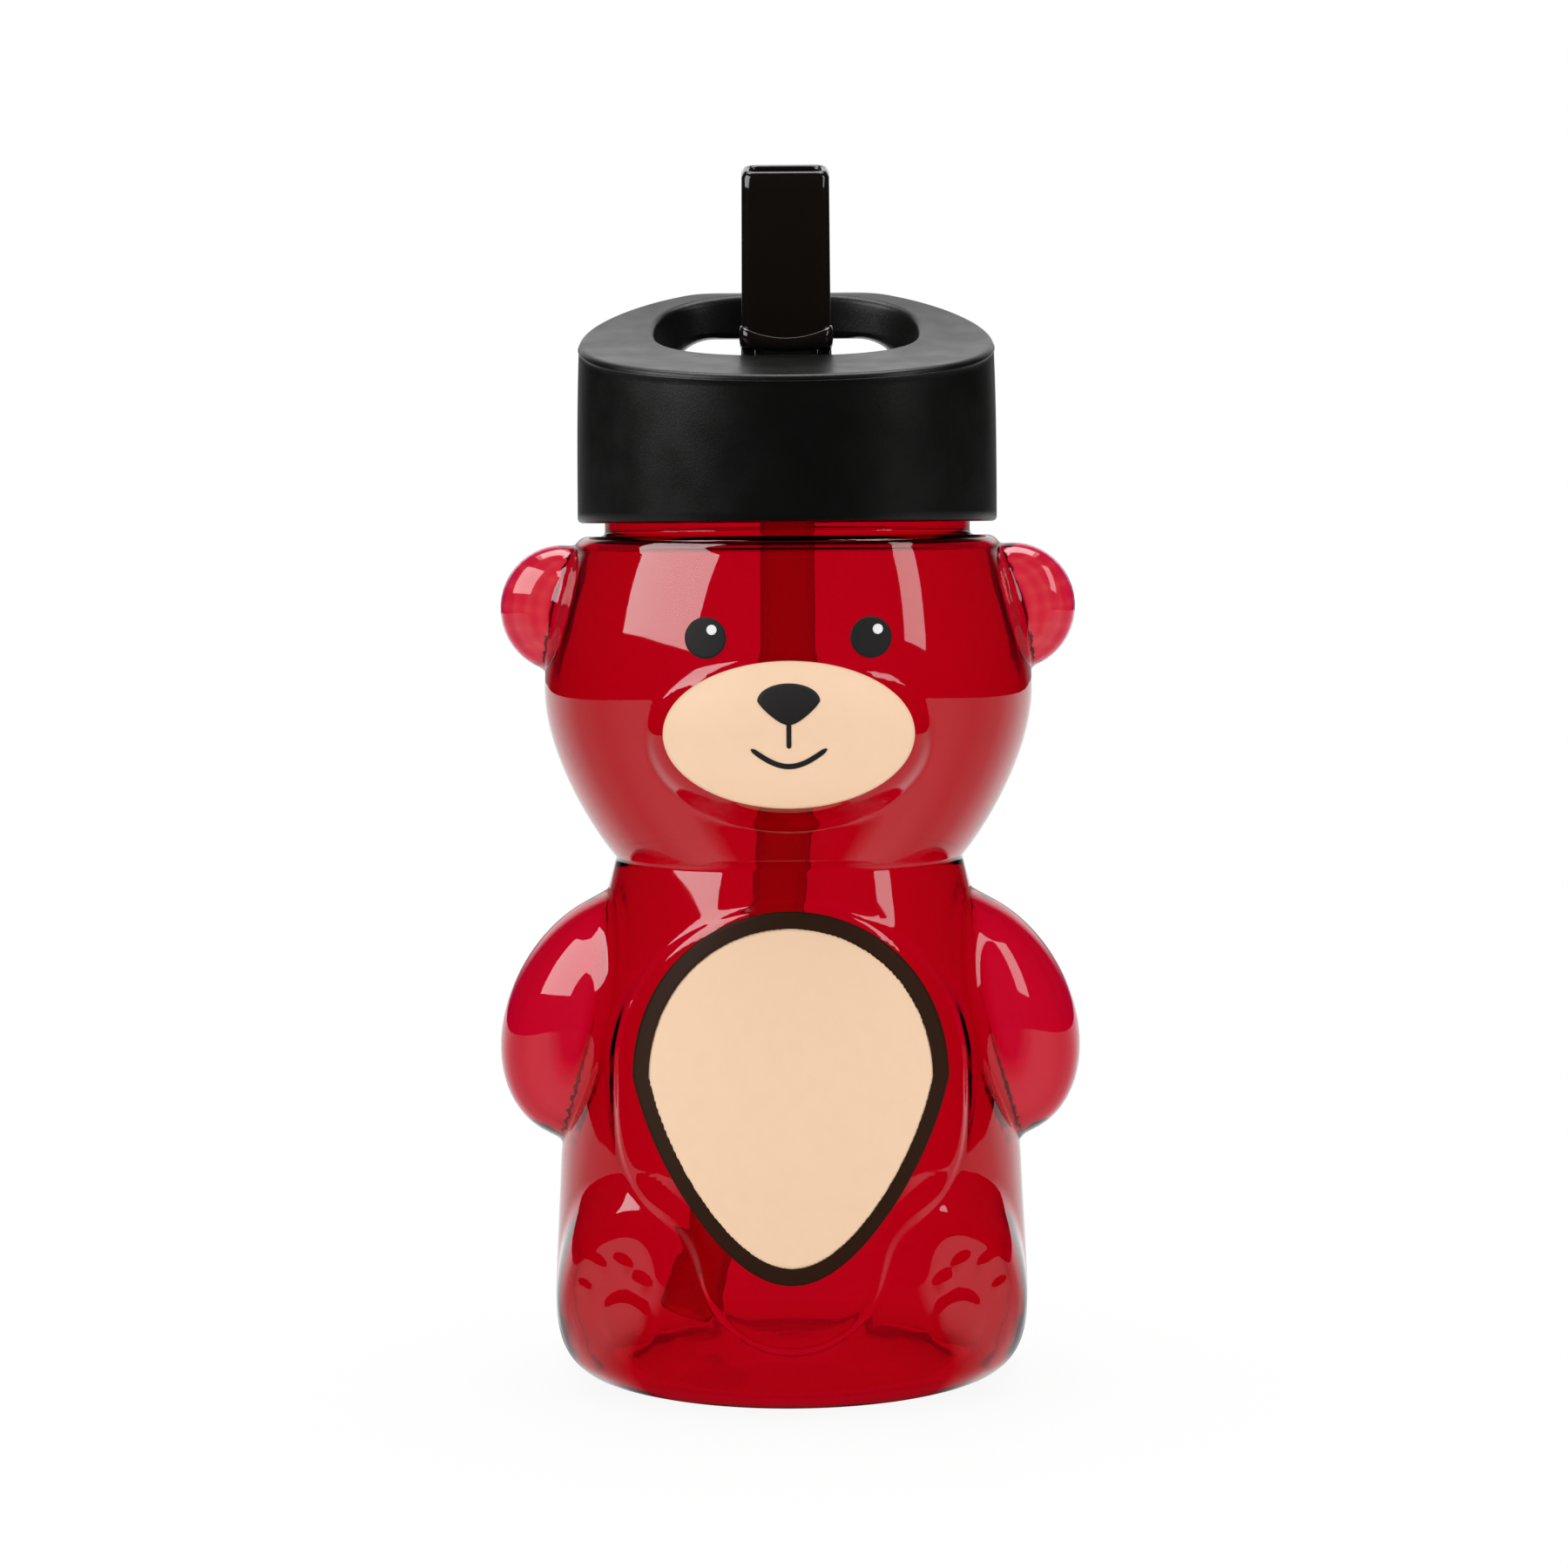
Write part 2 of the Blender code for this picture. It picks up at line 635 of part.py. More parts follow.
def rod_along_x(name, radius, half_length, steps=20):
    """A cylinder on the spout's pivot axis."""
    points = [
        (
            PIVOT_BACK + radius * math.cos(math.tau * i / steps),
            PIVOT_HEIGHT + radius * math.sin(math.tau * i / steps),
        )
        for i in range(steps)
    ]
    return along_x(points, -half_length, half_length, name)


def core_cut():
    """The hollow under the front ramp, which keeps that wall thin."""
    back = WELL_FRONT - CORE_WALL
    half = math.sqrt(CORE_RADIUS**2 - back**2)
    reach_angle = math.atan2(-back, half)
    points = []
    for i in range(13):
        angle = -reach_angle - (math.pi - 2 * reach_angle) * i / 12
        points.append((CORE_RADIUS * math.cos(angle), CORE_RADIUS * math.sin(angle)))
    cut = prism("core_cut", points, SEAT - GAP, SEAT)
    for vert in cut.data.vertices:
        if vert.co.z > SEAT - GAP / 2:
            vert.co.z = lid_height(vert.co.y) - CORE_WALL
    return cut


def tube_outline(inner, outer, low, high):
    """Outline of a plain ring."""
    return [(inner, low), (outer, low), (outer, high), (inner, high)]


def make_lid(finish, parent):
    """Screw lid: skirt with inner thread, deck, spout well and carry loop."""
    lid = piece("lid", lid_blank(), finish, parent)
    inside = turned(
        "lid_inside",
        [(0, LID_BOTTOM - LID_WALL), (LID_INNER, LID_BOTTOM - LID_WALL), (LID_INNER, SEAT), (0, SEAT)],
        LID_STEPS,
    )
    well = prism("well", well_outline(), DECK, LOOP_TOP + LID_WALL)
    to_back = Matrix(
        ((1, 0, 0, 0), (0, 0, 1, 0), (0, 1, 0, DECK + ARCH_SILL), (0, 0, 0, 1))
    )
    arch = prism("arch", arch_outline(), WELL_CENTRE + LID_WALL, LID_RADIUS + LID_WALL, to_back)
    plug = turned(
        "plug_ring",
        tube_outline(PLUG_RADIUS - PLUG_WALL, PLUG_RADIUS, SEAT - PLUG_DEPTH, SEAT + THREAD_BITE),
        LID_STEPS,
    )
    socket = turned(
        "straw_socket",
        tube_outline(SOCKET_INNER, SOCKET_RADIUS, SEAT - SOCKET_LENGTH, SEAT + THREAD_BITE),
        24,
        place=(0, PIVOT_BACK, 0),
    )
    drop = (THREAD_ROOT_WIDTH + THREAD_CREST_WIDTH) / 2
    ridge = thread_ridge(
        "lid_thread",
        LID_INNER + THREAD_BITE,
        NECK_RADIUS + THREAD_CREST_GAP,
        SHOULDER_HEIGHT + THREAD_RISE - drop,
        LID_TURNS,
    )
    port = turned(
        "seal_port",
        [
            (0, SEAT - GAP),
            (SEAL_HEAD_RADIUS + GAP, SEAT - GAP),
            (SEAL_HEAD_RADIUS + GAP, DECK + GAP),
            (0, DECK + GAP),
        ],
        24,
        place=(0, PIVOT_BACK, 0),
    )
    vent = turned(
        "vent_hole",
        [
            (0, SEAT - GAP),
            (VALVE_STEM_RADIUS + GAP, SEAT - GAP),
            (VALVE_STEM_RADIUS + GAP, DECK + GAP),
            (0, DECK + GAP),
        ],
        12,
        place=(VALVE_RIGHT, VALVE_BACK, 0),
    )
    for tool in (inside, well, arch, core_cut()):
        tool.parent = parent
        combine(lid, tool, "DIFFERENCE")
    for tool in (plug, socket, ridge):
        tool.parent = parent
        combine(lid, tool, "UNION")
    for side, name in ((-1, "left_cheek"), (1, "right_cheek")):
        ends = sorted((side * CHEEK_INNER, side * CHEEK_OUTER))
        cheek = along_x(cheek_outline(), ends[0], ends[1], name)
        cheek.parent = parent
        combine(lid, cheek, "UNION")
    pin_hole = rod_along_x("pin_hole", TRUNNION_RADIUS + GAP, CHEEK_OUTER + GAP)
    for tool in (port, vent, pin_hole):
        tool.parent = parent
        combine(lid, tool, "DIFFERENCE")
    return lid


def make_gasket(finish, parent):
    """Flat sealing ring between the bottle's lip and the lid's seat."""
    low, high = NECK_TOP + GAP, NECK_TOP + GAP + GASKET_THICKNESS
    inner, outer, soft = PLUG_RADIUS + GAP, LID_INNER - GAP, GASKET_ROUNDING
    outline = [
        (inner + soft, low),
        (outer - soft, low),
        (outer, low + soft),
        (outer, high - soft),
        (outer - soft, high),
        (inner + soft, high),
        (inner, high - soft),
        (inner, low + soft),
    ]
    return turned("lid_gasket", outline, 40, finish, parent)


def box(name, half_width, half_depth, low, high):
    """A block that stands on the pivot axis, with softened edges."""
    return prism(
        name,
        [
            (x, PIVOT_BACK + y)
            for x, y in rounded_oblong(half_width, half_depth, SPIGOT_WALL_ROUNDING)
        ],
        low,
        high,
    )


def make_spout_pivot(finish, hinge, parent):
    """Hard core of the spout: barrel, two trunnions, spigot and drinking bore."""
    barrel = rod_along_x("spout_pivot", BARREL_RADIUS, BARREL_HALF_WIDTH, 28)
    barrel.data.materials.append(finish)
    trunnions = rod_along_x("trunnions", TRUNNION_RADIUS, TRUNNION_END)
    stem_half_width = BARREL_HALF_WIDTH - GAP
    stem = box("stem", stem_half_width, SPIGOT_HALF_DEPTH, PIVOT_HEIGHT, PIVOT_HEIGHT + SPIGOT_END)
    spigot = box(
        "spigot",
        SPIGOT_HALF_WIDTH,
        SPIGOT_HALF_DEPTH - GAP / 10,
        PIVOT_HEIGHT + SPIGOT_START,
        PIVOT_HEIGHT + SPIGOT_END - GAP / 10,
    )
    bore = turned(
        "bore",
        [
            (0, PIVOT_HEIGHT - BARREL_RADIUS - WALL),
            (BORE_RADIUS, PIVOT_HEIGHT - BARREL_RADIUS - WALL),
            (BORE_RADIUS, PIVOT_HEIGHT + SPIGOT_END + WALL),
            (0, PIVOT_HEIGHT + SPIGOT_END + WALL),
        ],
        16,
        place=(0, PIVOT_BACK, 0),
    )
    for tool in (trunnions, stem, spigot):
        combine(barrel, tool, "UNION")
    combine(barrel, bore, "DIFFERENCE")
    for one in (barrel, trunnions, stem, spigot, bore):
        hang_on(one, hinge)
    return barrel


def hang_on(made, hinge):
    """Give a piece its origin on the hinge's axis and parent it to the hinge's empty."""
    offset = Matrix.Translation((0, -PIVOT_BACK, -PIVOT_HEIGHT))
    made.data.transform(offset)
    made.parent = hinge


def make_mouthpiece(finish, hinge):
    """Soft, flat drinking tube with a rolled collar and a slanted, open tip."""
    start = PIVOT_HEIGHT + MOUTH_START
    tip = start + MOUTH_LENGTH
    wide, deep = MOUTH_WIDTH / 2, MOUTH_DEPTH / 2
    bulge = [(0.1, 0.0), (0.25, 0.8), (0.55, 1.0), (0.85, 0.8), (1.0, 0.0)]
    inner_corner = MOUTH_CORNER - MOUTH_WALL / 2
    rings = [(start, -COLLAR_PROUD / 3, MOUTH_CORNER, COLLAR_FOOT_DIP)]
    for up, out in bulge:
        dip = COLLAR_FOOT_DIP + (COLLAR_DIP - COLLAR_FOOT_DIP) * up
        rings.append((start + COLLAR_HEIGHT * up, COLLAR_PROUD * out, MOUTH_CORNER, dip))
    rings += [
        (start + MOUTH_LENGTH / 2, -MOUTH_FLARE / 3, MOUTH_CORNER, 0.0),
        (tip - MOUTH_WALL / 2, -MOUTH_FLARE, MOUTH_CORNER, 0.0),
        (tip, -MOUTH_FLARE - MOUTH_WALL / 4, MOUTH_CORNER, 0.0),
        (tip, -MOUTH_WALL * 0.75 - MOUTH_FLARE, inner_corner, 0.0),
        (tip - MOUTH_WALL / 2, -MOUTH_WALL, inner_corner, 0.0),
        (start, -MOUTH_WALL, inner_corner, COLLAR_FOOT_DIP),
    ]
    shape = bmesh.new()
    loops = []
    for height, out, corner, dip in rings:
        lean = MOUTH_SLANT / MOUTH_DEPTH * smooth_step(start, tip, height)
        loop = []
        for x, y in rounded_oblong(wide + out, deep + out, corner):
            up = height + dip * (x / wide) ** 2 - lean * (deep - y)
            loop.append(shape.verts.new((x, PIVOT_BACK + y, up)))
        loops.append(loop)
    join_rings(shape, loops + [loops[0]])
    made = piece("mouthpiece", shape, finish)
    hang_on(made, hinge)
    return made


def make_seal(finish, parent):
    """Soft plug under the barrel: saddle on top, straw grip below."""
    low = SEAL_SHOULDER - SEAL_LENGTH
    outline = [
        (BORE_RADIUS, SEAL_TOP),
        (BORE_RADIUS, STRAW_TOP + GAP),
        (STRAW_HOLE, STRAW_TOP + GAP),
        (STRAW_HOLE, low),
        (SEAL_RADIUS, low),
        (SEAL_RADIUS, SEAL_SHOULDER),
        (SEAL_HEAD_RADIUS, SEAL_SHOULDER),
        (SEAL_HEAD_RADIUS, SEAL_TOP),
    ]
    seal = turned("spout_seal", outline, 24, finish, parent, (0, PIVOT_BACK, 0))
    saddle = rod_along_x("saddle", BARREL_RADIUS + GAP, SEAL_RADIUS, 28)
    saddle.parent = parent
    combine(seal, saddle, "DIFFERENCE")
    return seal


def straw_route():
    """Centres and directions down the straw: straight, then an easy bend to one side."""
    low_end = STRAW_BEND_START - STRAW_END
    bend = math.asin(low_end / STRAW_BEND_RADIUS)
    route = [(Vector((0, PIVOT_BACK, STRAW_TOP)), 0.0)]
    for i in range(STRAW_RINGS + 1):
        turn = bend * i / STRAW_RINGS
        route.append(
            (
                Vector(
                    (
                        -STRAW_BEND_RADIUS * (1 - math.cos(turn)),
                        PIVOT_BACK,
                        STRAW_BEND_START - STRAW_BEND_RADIUS * math.sin(turn),
                    )
                ),
                turn,
            )
        )
    return route


def make_straw(finish, parent):
    """Open drinking tube from the seal down to a corner of the base."""
    shape = bmesh.new()
    route = straw_route()
    layers = [(c, t, STRAW_RADIUS) for c, t in route]
    layers += [(c, t, STRAW_RADIUS - STRAW_WALL) for c, t in reversed(route)]
    loops = []
    for centre, turn, radius in layers:
        spin = Matrix.Rotation(turn, 3, "Y")
        loops.append(
            [
                shape.verts.new(
                    centre
                    + spin
                    @ Vector(
                        (
                            radius * math.cos(math.tau * i / STRAW_SIDES),
                            radius * math.sin(math.tau * i / STRAW_SIDES),
                            0,
                        )
                    )
                )
                for i in range(STRAW_SIDES)
            ]
        )
    join_rings(shape, loops + [loops[0]])
    return piece("straw", shape, finish, parent)


def make_valve(finish, parent):
    """Small mushroom valve that lets air in through the deck."""
    outline = [
        (0, SEAT - GAP - VALVE_SKIRT_HEIGHT),
        (VALVE_SKIRT_RADIUS * 0.6, SEAT - GAP - VALVE_SKIRT_HEIGHT),
        (VALVE_SKIRT_RADIUS, SEAT - GAP),
        (VALVE_STEM_RADIUS, SEAT - GAP),
        (VALVE_STEM_RADIUS, DECK + GAP),
        (VALVE_CAP_RADIUS, DECK + GAP),
        (VALVE_CAP_RADIUS * 0.7, DECK + GAP + VALVE_CAP_HEIGHT * 0.8),
        (0, DECK + GAP + VALVE_CAP_HEIGHT),
    ]
    place = (VALVE_RIGHT, VALVE_BACK, 0)
    return turned("vent_valve", outline, 16, finish, parent, place)


def main():
    clear_scene()
    stand = bpy.data.objects.new("bottle_axis", None)
    bpy.context.scene.collection.objects.link(stand)
    stand.location = (0, BOTTLE_SET_BACK, 0)
    hinge = bpy.data.objects.new("spout_hinge", None)
    bpy.context.scene.collection.objects.link(hinge)
    hinge.parent = stand
    hinge.location = (0, PIVOT_BACK, PIVOT_HEIGHT)

    red = material("clear_red_plastic", RED, 0.05, 0.9)
    black = material("satin_black_plastic", BLACK, 0.4)
    gloss = material("gloss_black_rubber", BLACK, 0.12)
    soft = material("black_silicone", SOFT_BLACK, 0.6)
    tube = material("red_straw_plastic", CLEAR_RED, 0.15, 0.5)

    make_bottle(red, stand)
    make_lid(black, stand)
    make_gasket(soft, stand)
    make_spout_pivot(black, hinge, stand)
    make_mouthpiece(gloss, hinge)
    make_seal(soft, stand)
    make_straw(tube, stand)
    make_valve(soft, stand)


main()
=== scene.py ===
"""Studio picture of a bear-shaped drinking bottle with a screw lid and a fold-down spout."""

import bisect
import math

import bmesh
import bpy
from mathutils import Matrix, Vector
from mathutils.bvhtree import BVHTree
from mathutils.geometry import interpolate_bezier


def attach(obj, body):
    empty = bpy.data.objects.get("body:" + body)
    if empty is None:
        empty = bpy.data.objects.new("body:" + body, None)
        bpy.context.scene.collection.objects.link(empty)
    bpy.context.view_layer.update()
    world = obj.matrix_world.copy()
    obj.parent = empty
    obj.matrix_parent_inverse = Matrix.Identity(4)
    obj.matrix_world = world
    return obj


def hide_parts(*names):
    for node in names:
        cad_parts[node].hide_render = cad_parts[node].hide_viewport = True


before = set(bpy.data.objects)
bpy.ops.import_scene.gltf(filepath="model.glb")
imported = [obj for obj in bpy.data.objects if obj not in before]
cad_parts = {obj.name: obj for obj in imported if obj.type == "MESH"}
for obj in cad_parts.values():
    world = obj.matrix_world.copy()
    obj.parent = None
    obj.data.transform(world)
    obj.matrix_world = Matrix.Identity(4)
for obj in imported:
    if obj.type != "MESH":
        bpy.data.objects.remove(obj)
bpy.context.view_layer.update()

MM = 0.001
SET_BACK = 2.45 * MM

# Blown bear body, as it is turned before it swells
WALL = 1.2 * MM
EAR_THINNED = 0.3
ARM_THINNED = 0.6
NECK = 27.0 * MM
NECK_TOP = 141.0 * MM
SHOULDER = 124.0 * MM
SHOULDER_ROUNDING = 2.0 * MM
BODY_COLUMNS = 280
MUZZLE_HEIGHT = 96.4
TUMMY_HEIGHT = 47
TUMMY_HALF = 24.8
TUMMY_STEP = 0.6 * MM
TONGUE_HALF = 12.7
TONGUE_TALL = 12.3
PITCH = 4.0 * MM

# Lid
LID_RADIUS = 31.0 * MM
LID_INNER = 29.2 * MM
LID_BOTTOM = 126.0 * MM
LID_FRONT = 146.4 * MM
LID_DRAFT = 0.35 * MM
RIM = 0.8 * MM
RAMP_SLOPE = 0.171
CREASE = LID_FRONT + LID_RADIUS * RAMP_SLOPE
LOOP_SLOPE = 0.367
LOOP_TOP = CREASE + 27.15 * MM * LOOP_SLOPE
SEAT = 143.2 * MM
DECK = 145.0 * MM
WELL_CENTRE = 7.65 * MM
WELL_LENGTH = 17.95 * MM
WELL_WIDTH = 19.7 * MM
WELL_EDGE = 0.9 * MM
WELL_POWER = 2.5
GASKET_INNER = 24.7 * MM
GASKET_OUTER = 28.9 * MM
VALVE_PLACE = (12 * MM, 6 * MM, 0)
LID_COLUMNS = 300

# Spout
PIVOT = Vector((0, -5.4 * MM, 148.4 * MM))
SPOUT_LINE = (0, PIVOT.y, 0)
BARREL = 3.0 * MM
BARREL_HALF = 4.56 * MM
TRUNNION = 1.5 * MM
TRUNNION_HOLE = 1.8 * MM
CHEEK_NEAR = 4.6 * MM
CHEEK_FAR = 6.6 * MM
STRAW_RADIUS = 4.0 * MM
STRAW_BORE = 3.2 * MM
MOUTH_START = PIVOT.z + 2.9 * MM
MOUTH_TIP = MOUTH_START + 27.3 * MM
MOUTH_WIDE = 6.5 * MM
MOUTH_DEEP = 3.6 * MM

CREAM = (0.95, 0.667, 0.453, 1)
BROWN = (0.032, 0.011, 0.003, 1)
INK = (0.0203, 0.0185, 0.0194, 1)
WHITE = (0.9, 0.9, 0.9, 1)
LIGHT = (1, 1, 1, 1)


def smooth_step(low, high, value):
    share = min(1.0, max(0.0, (value - low) / (high - low)))
    return share * share * (3 - 2 * share)


def smooth_max(a, b, width):
    overlap = max(width - abs(a - b), 0.0)
    return max(a, b) + overlap * overlap / (4 * width)


def blend(a, b, share):
    return a + (b - a) * share


# Finishes

def finish(name, colour, roughness, **sockets):
    """A Principled finish, with the shader's own sockets set by name."""
    made = bpy.data.materials.new(name)
    made.use_nodes = True
    shader = made.node_tree.nodes["Principled BSDF"]
    shader.inputs["Base Color"].default_value = colour
    shader.inputs["Roughness"].default_value = roughness
    for socket, value in sockets.items():
        shader.inputs[socket.replace("_", " ")].default_value = value
    return made


def node(made, kind, **settings):
    """Add a node and set its named sockets."""
    new = made.node_tree.nodes.new("ShaderNode" + kind)
    for socket, value in settings.items():
        new.inputs[socket.replace("_", " ")].default_value = value
    return new


def join(made, source, target):
    made.node_tree.links.new(source, target)


def sums(made, kind, *sources):
    """A Math node that works on outputs and plain numbers."""
    step = node(made, "Math")
    step.operation = kind
    for socket, source in zip(step.inputs, sources):
        if isinstance(source, float):
            socket.default_value = source
        else:
            join(made, source, socket)
    return step.outputs[0]


def mixed(made, share, first, second):
    """Two shaders mixed by a share."""
    mix = node(made, "MixShader")
    for socket, source in zip(mix.inputs, (share, first, second)):
        join(made, source, socket)
    return mix.outputs[0]


def roughen(made, source, depth):
    """Bump the surface by a node's output."""
    bump = node(made, "Bump", Distance=depth, Strength=1.0)
    join(made, source, bump.inputs["Height"])
    join(made, bump.outputs["Normal"], made.node_tree.nodes["Principled BSDF"].inputs["Normal"])


def grain(made, scale, depth, low, high):
    """Fine surface grain: a bump, and a roughness that wanders with a broader cloud."""
    place = node(made, "TexCoord")
    fine = node(made, "TexNoise", Scale=scale, Detail=3.0, Roughness=0.6)
    broad = node(made, "TexNoise", Scale=scale / 14, Detail=2.0)
    spread = node(made, "MapRange", From_Min=0.3, From_Max=0.7, To_Min=low, To_Max=high)
    for noise in (fine, broad):
        join(made, place.outputs["Object"], noise.inputs["Vector"])
    roughen(made, fine.outputs["Fac"], depth)
    join(made, broad.outputs["Fac"], spread.inputs["Value"])
    join(made, spread.outputs["Result"], made.node_tree.nodes["Principled BSDF"].inputs["Roughness"])


def clear_red(name, colour, dimming, ripple, roughness, bending=1.5):
    """Clear red plastic: tinted at each face and darker with depth, with faint flow ripples."""
    made = finish(name, colour, roughness, Transmission_Weight=1.0, IOR=bending)
    place = node(made, "TexCoord")
    mapping = node(made, "Mapping", Scale=(1, 1, 0.45))
    flow = node(made, "TexNoise", Scale=95.0, Detail=2.0)
    join(made, place.outputs["Object"], mapping.inputs["Vector"])
    join(made, mapping.outputs["Vector"], flow.inputs["Vector"])
    roughen(made, flow.outputs["Fac"], ripple)
    depth = max(dimming)
    tint = tuple(1 - one / depth for one in dimming)
    absorb = node(made, "VolumeAbsorption", Color=(*tint, 1), Density=depth)
    output = made.node_tree.nodes["Material Output"]
    join(made, absorb.outputs["Volume"], output.inputs["Volume"])
    return made


def print_ink(name, colour):
    """Screen-print ink: even colour with a faint weave of pinholes and a soft gloss."""
    made = finish(name, colour, 0.5, Specular_IOR_Level=0.1)
    place = node(made, "TexCoord")
    noise = node(made, "TexNoise", Scale=420.0, Detail=3.0)
    ramp = node(made, "ValToRGB")
    pale, full = ramp.color_ramp.elements
    pale.position = 0.3
    pale.color = (*[c * 0.985 for c in colour[:3]], 1)
    full.position = 0.6
    full.color = colour
    join(made, place.outputs["Object"], noise.inputs["Vector"])
    join(made, noise.outputs["Fac"], ramp.inputs["Fac"])
    join(made, ramp.outputs["Color"], made.node_tree.nodes["Principled BSDF"].inputs["Base Color"])
    roughen(made, noise.outputs["Fac"], 0.015 * MM)
    return made


bear_plastic = clear_red("bear_plastic", (0.893, 0.73, 0.34, 1), (205, 3500, 1100), 0.05 * MM, 0.03)
straw_plastic = clear_red("straw_plastic", (0.9, 0.35, 0.42, 1), (180, 700, 330), 0.02 * MM, 0.2, 1.2)
lid_plastic = finish("lid_plastic", (0.0035, 0.0033, 0.003, 1), 0.42, Specular_IOR_Level=0.28)
pivot_plastic = finish("pivot_plastic", (0.008, 0.008, 0.008, 1), 0.4, IOR=1.5)
mouth_rubber = finish("mouth_rubber", (0.007, 0.005, 0.004, 1), 0.16, IOR=1.48)
soft_rubber = finish("soft_rubber", (0.02, 0.02, 0.02, 1), 0.6, IOR=1.42)
grain(lid_plastic, 2600, 0.02 * MM, 0.31, 0.39)
grain(pivot_plastic, 2600, 0.02 * MM, 0.35, 0.45)
grain(mouth_rubber, 260, 0.03 * MM, 0.08, 0.14)
grain(soft_rubber, 1500, 0.03 * MM, 0.55, 0.68)
cream_ink = print_ink("cream_ink", CREAM)
brown_ink = print_ink("brown_ink", BROWN)
dark_ink = print_ink("dark_ink", INK)
white_ink = print_ink("white_ink", WHITE)


# Workshop

def keep(name, shape, made, body, stands_for=(), fold=40.0, straight=False):
    """Put a finished shape into the scene, on its body and in place of the CAD parts it stands for."""
    if not straight:
        bmesh.ops.recalc_face_normals(shape, faces=shape.faces)
    bmesh.ops.translate(shape, verts=shape.verts, vec=(0, SET_BACK, 0))
    mesh = bpy.data.meshes.new(name)
    shape.to_mesh(mesh)
    shape.free()
    mesh.materials.append(made)
    mesh.shade_smooth()
    mesh.set_sharp_from_angle(angle=math.radians(fold))
    obj = bpy.data.objects.new(name, mesh)
    bpy.context.scene.collection.objects.link(obj)
    if body:
        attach(obj, body)
    if stands_for:
        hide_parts(*stands_for)
    return obj


def carve(target, shape, operation="DIFFERENCE"):
    """Cut a shape out of a piece, or weld it on, for good."""
    tool = keep("tool", shape, target.data.materials[0], None)
    step = target.modifiers.new("carve", "BOOLEAN")
    step.operation = operation
    step.solver = "EXACT"
    step.object = tool
    bpy.context.view_layer.update()
    seen = target.evaluated_get(bpy.context.evaluated_depsgraph_get())
    carved = bpy.data.meshes.new_from_object(seen)
    target.modifiers.clear()
    target.data = carved
    bpy.data.objects.remove(tool)


def spin_line(shape, points, steps, marks=None):
    """Turn a line of points once round the Z axis. Each keeps its number, or its mark."""
    layer = shape.verts.layers.int.new("mark")
    made = [shape.verts.new(p) for p in points]
    for number, vert in enumerate(made):
        vert[layer] = marks[number] if marks else number
    edges = [shape.edges.new(pair) for pair in zip(made, made[1:])]
    bmesh.ops.spin(
        shape, geom=made + edges, cent=(0, 0, 0), axis=(0, 0, 1),
        angle=math.tau, steps=steps, use_merge=True,
    )
    bmesh.ops.remove_doubles(shape, verts=shape.verts, dist=MM / 1000)
    return layer


def turned(profile, steps, place=(0, 0, 0), soft=0.0):
    """A turned solid from (radius, height) pairs, with its corners softened."""
    shape = bmesh.new()
    points = [Vector((r, 0, z)) for r, z in profile]
    if min(r for r, z in profile) > 0:
        points.append(points[0])
    spin_line(shape, points, steps)
    bmesh.ops.recalc_face_normals(shape, faces=shape.faces)
    if soft:
        soften(shape, soft)
    bmesh.ops.translate(shape, verts=shape.verts, vec=place)
    return shape


def drill(radius, low, high, steps, place):
    """A cutter for an upright round hole."""
    return turned([(0, low), (radius, low), (radius, high), (0, high)], steps, place)


def soften(shape, amount, segments=3):
    """Round every edge that folds by more than 50 degrees."""
    sharp = [
        edge for edge in shape.edges
        if len(edge.link_faces) == 2 and edge.calc_face_angle() > math.radians(50)
    ]
    bmesh.ops.bevel(
        shape, geom=sharp, offset=amount, segments=segments, profile=0.5,
        affect="EDGES", material=-1,
    )


def stack(rings):
    """Extrude the first of some rings of points through the others. Returns the open tube."""
    shape = bmesh.new()
    layer = shape.verts.layers.int.new("mark")
    verts = [shape.verts.new(p) for p in rings[0]]
    for number, vert in enumerate(verts):
        vert[layer] = number
    edges = [shape.edges.new((verts[i - 1], verts[i])) for i in range(len(verts))]
    for ring in rings[1:]:
        made = bmesh.ops.extrude_edge_only(shape, edges=edges)["geom"]
        fresh = {v for v in made if isinstance(v, bmesh.types.BMVert)}
        for vert in fresh:
            vert.co = ring[vert[layer]]
        edges = [e for e in made if isinstance(e, bmesh.types.BMEdge) and all(v in fresh for v in e.verts)]
    return shape


def capped(shape):
    """Close the open ends of a tube."""
    rims = [edge for edge in shape.edges if edge.is_boundary]
    bmesh.ops.holes_fill(shape, edges=rims)
    bmesh.ops.recalc_face_normals(shape, faces=shape.faces)
    return shape


def looped(shape):
    """Weld the last ring of a stack on to its first."""
    bmesh.ops.remove_doubles(shape, verts=shape.verts, dist=MM / 1000)
    bmesh.ops.recalc_face_normals(shape, faces=shape.faces)
    return shape


def oblong(wide, deep, corner, steps=10, parts=1):
    """A rectangle with round corners, anticlockwise, as (x, y), its long sides cut in parts."""
    points = []
    for quarter in range(4):
        across = 1 if quarter in (0, 3) else -1
        along = 1 if quarter in (0, 1) else -1
        for i in range(steps + 1):
            angle = (quarter + i / steps) * math.pi / 2
            points.append((
                across * (wide - corner) + corner * math.cos(angle),
                along * (deep - corner) + corner * math.sin(angle),
            ))
        if quarter in (0, 2):
            x, y = points[-1]
            points.extend((x * (1 - 2 * i / parts), y) for i in range(1, parts))
    return points


def rod(radius, half_length, soft, segments=48):
    """A rod on the spout's pivot line."""
    shape = bmesh.new()
    place = Matrix.Translation(PIVOT) @ Matrix.Rotation(math.pi / 2, 4, "Y")
    bmesh.ops.create_cone(
        shape, cap_ends=True, segments=segments, radius1=radius, radius2=radius,
        depth=2 * half_length, matrix=place,
    )
    if soft:
        soften(shape, soft, 2)
    return shape


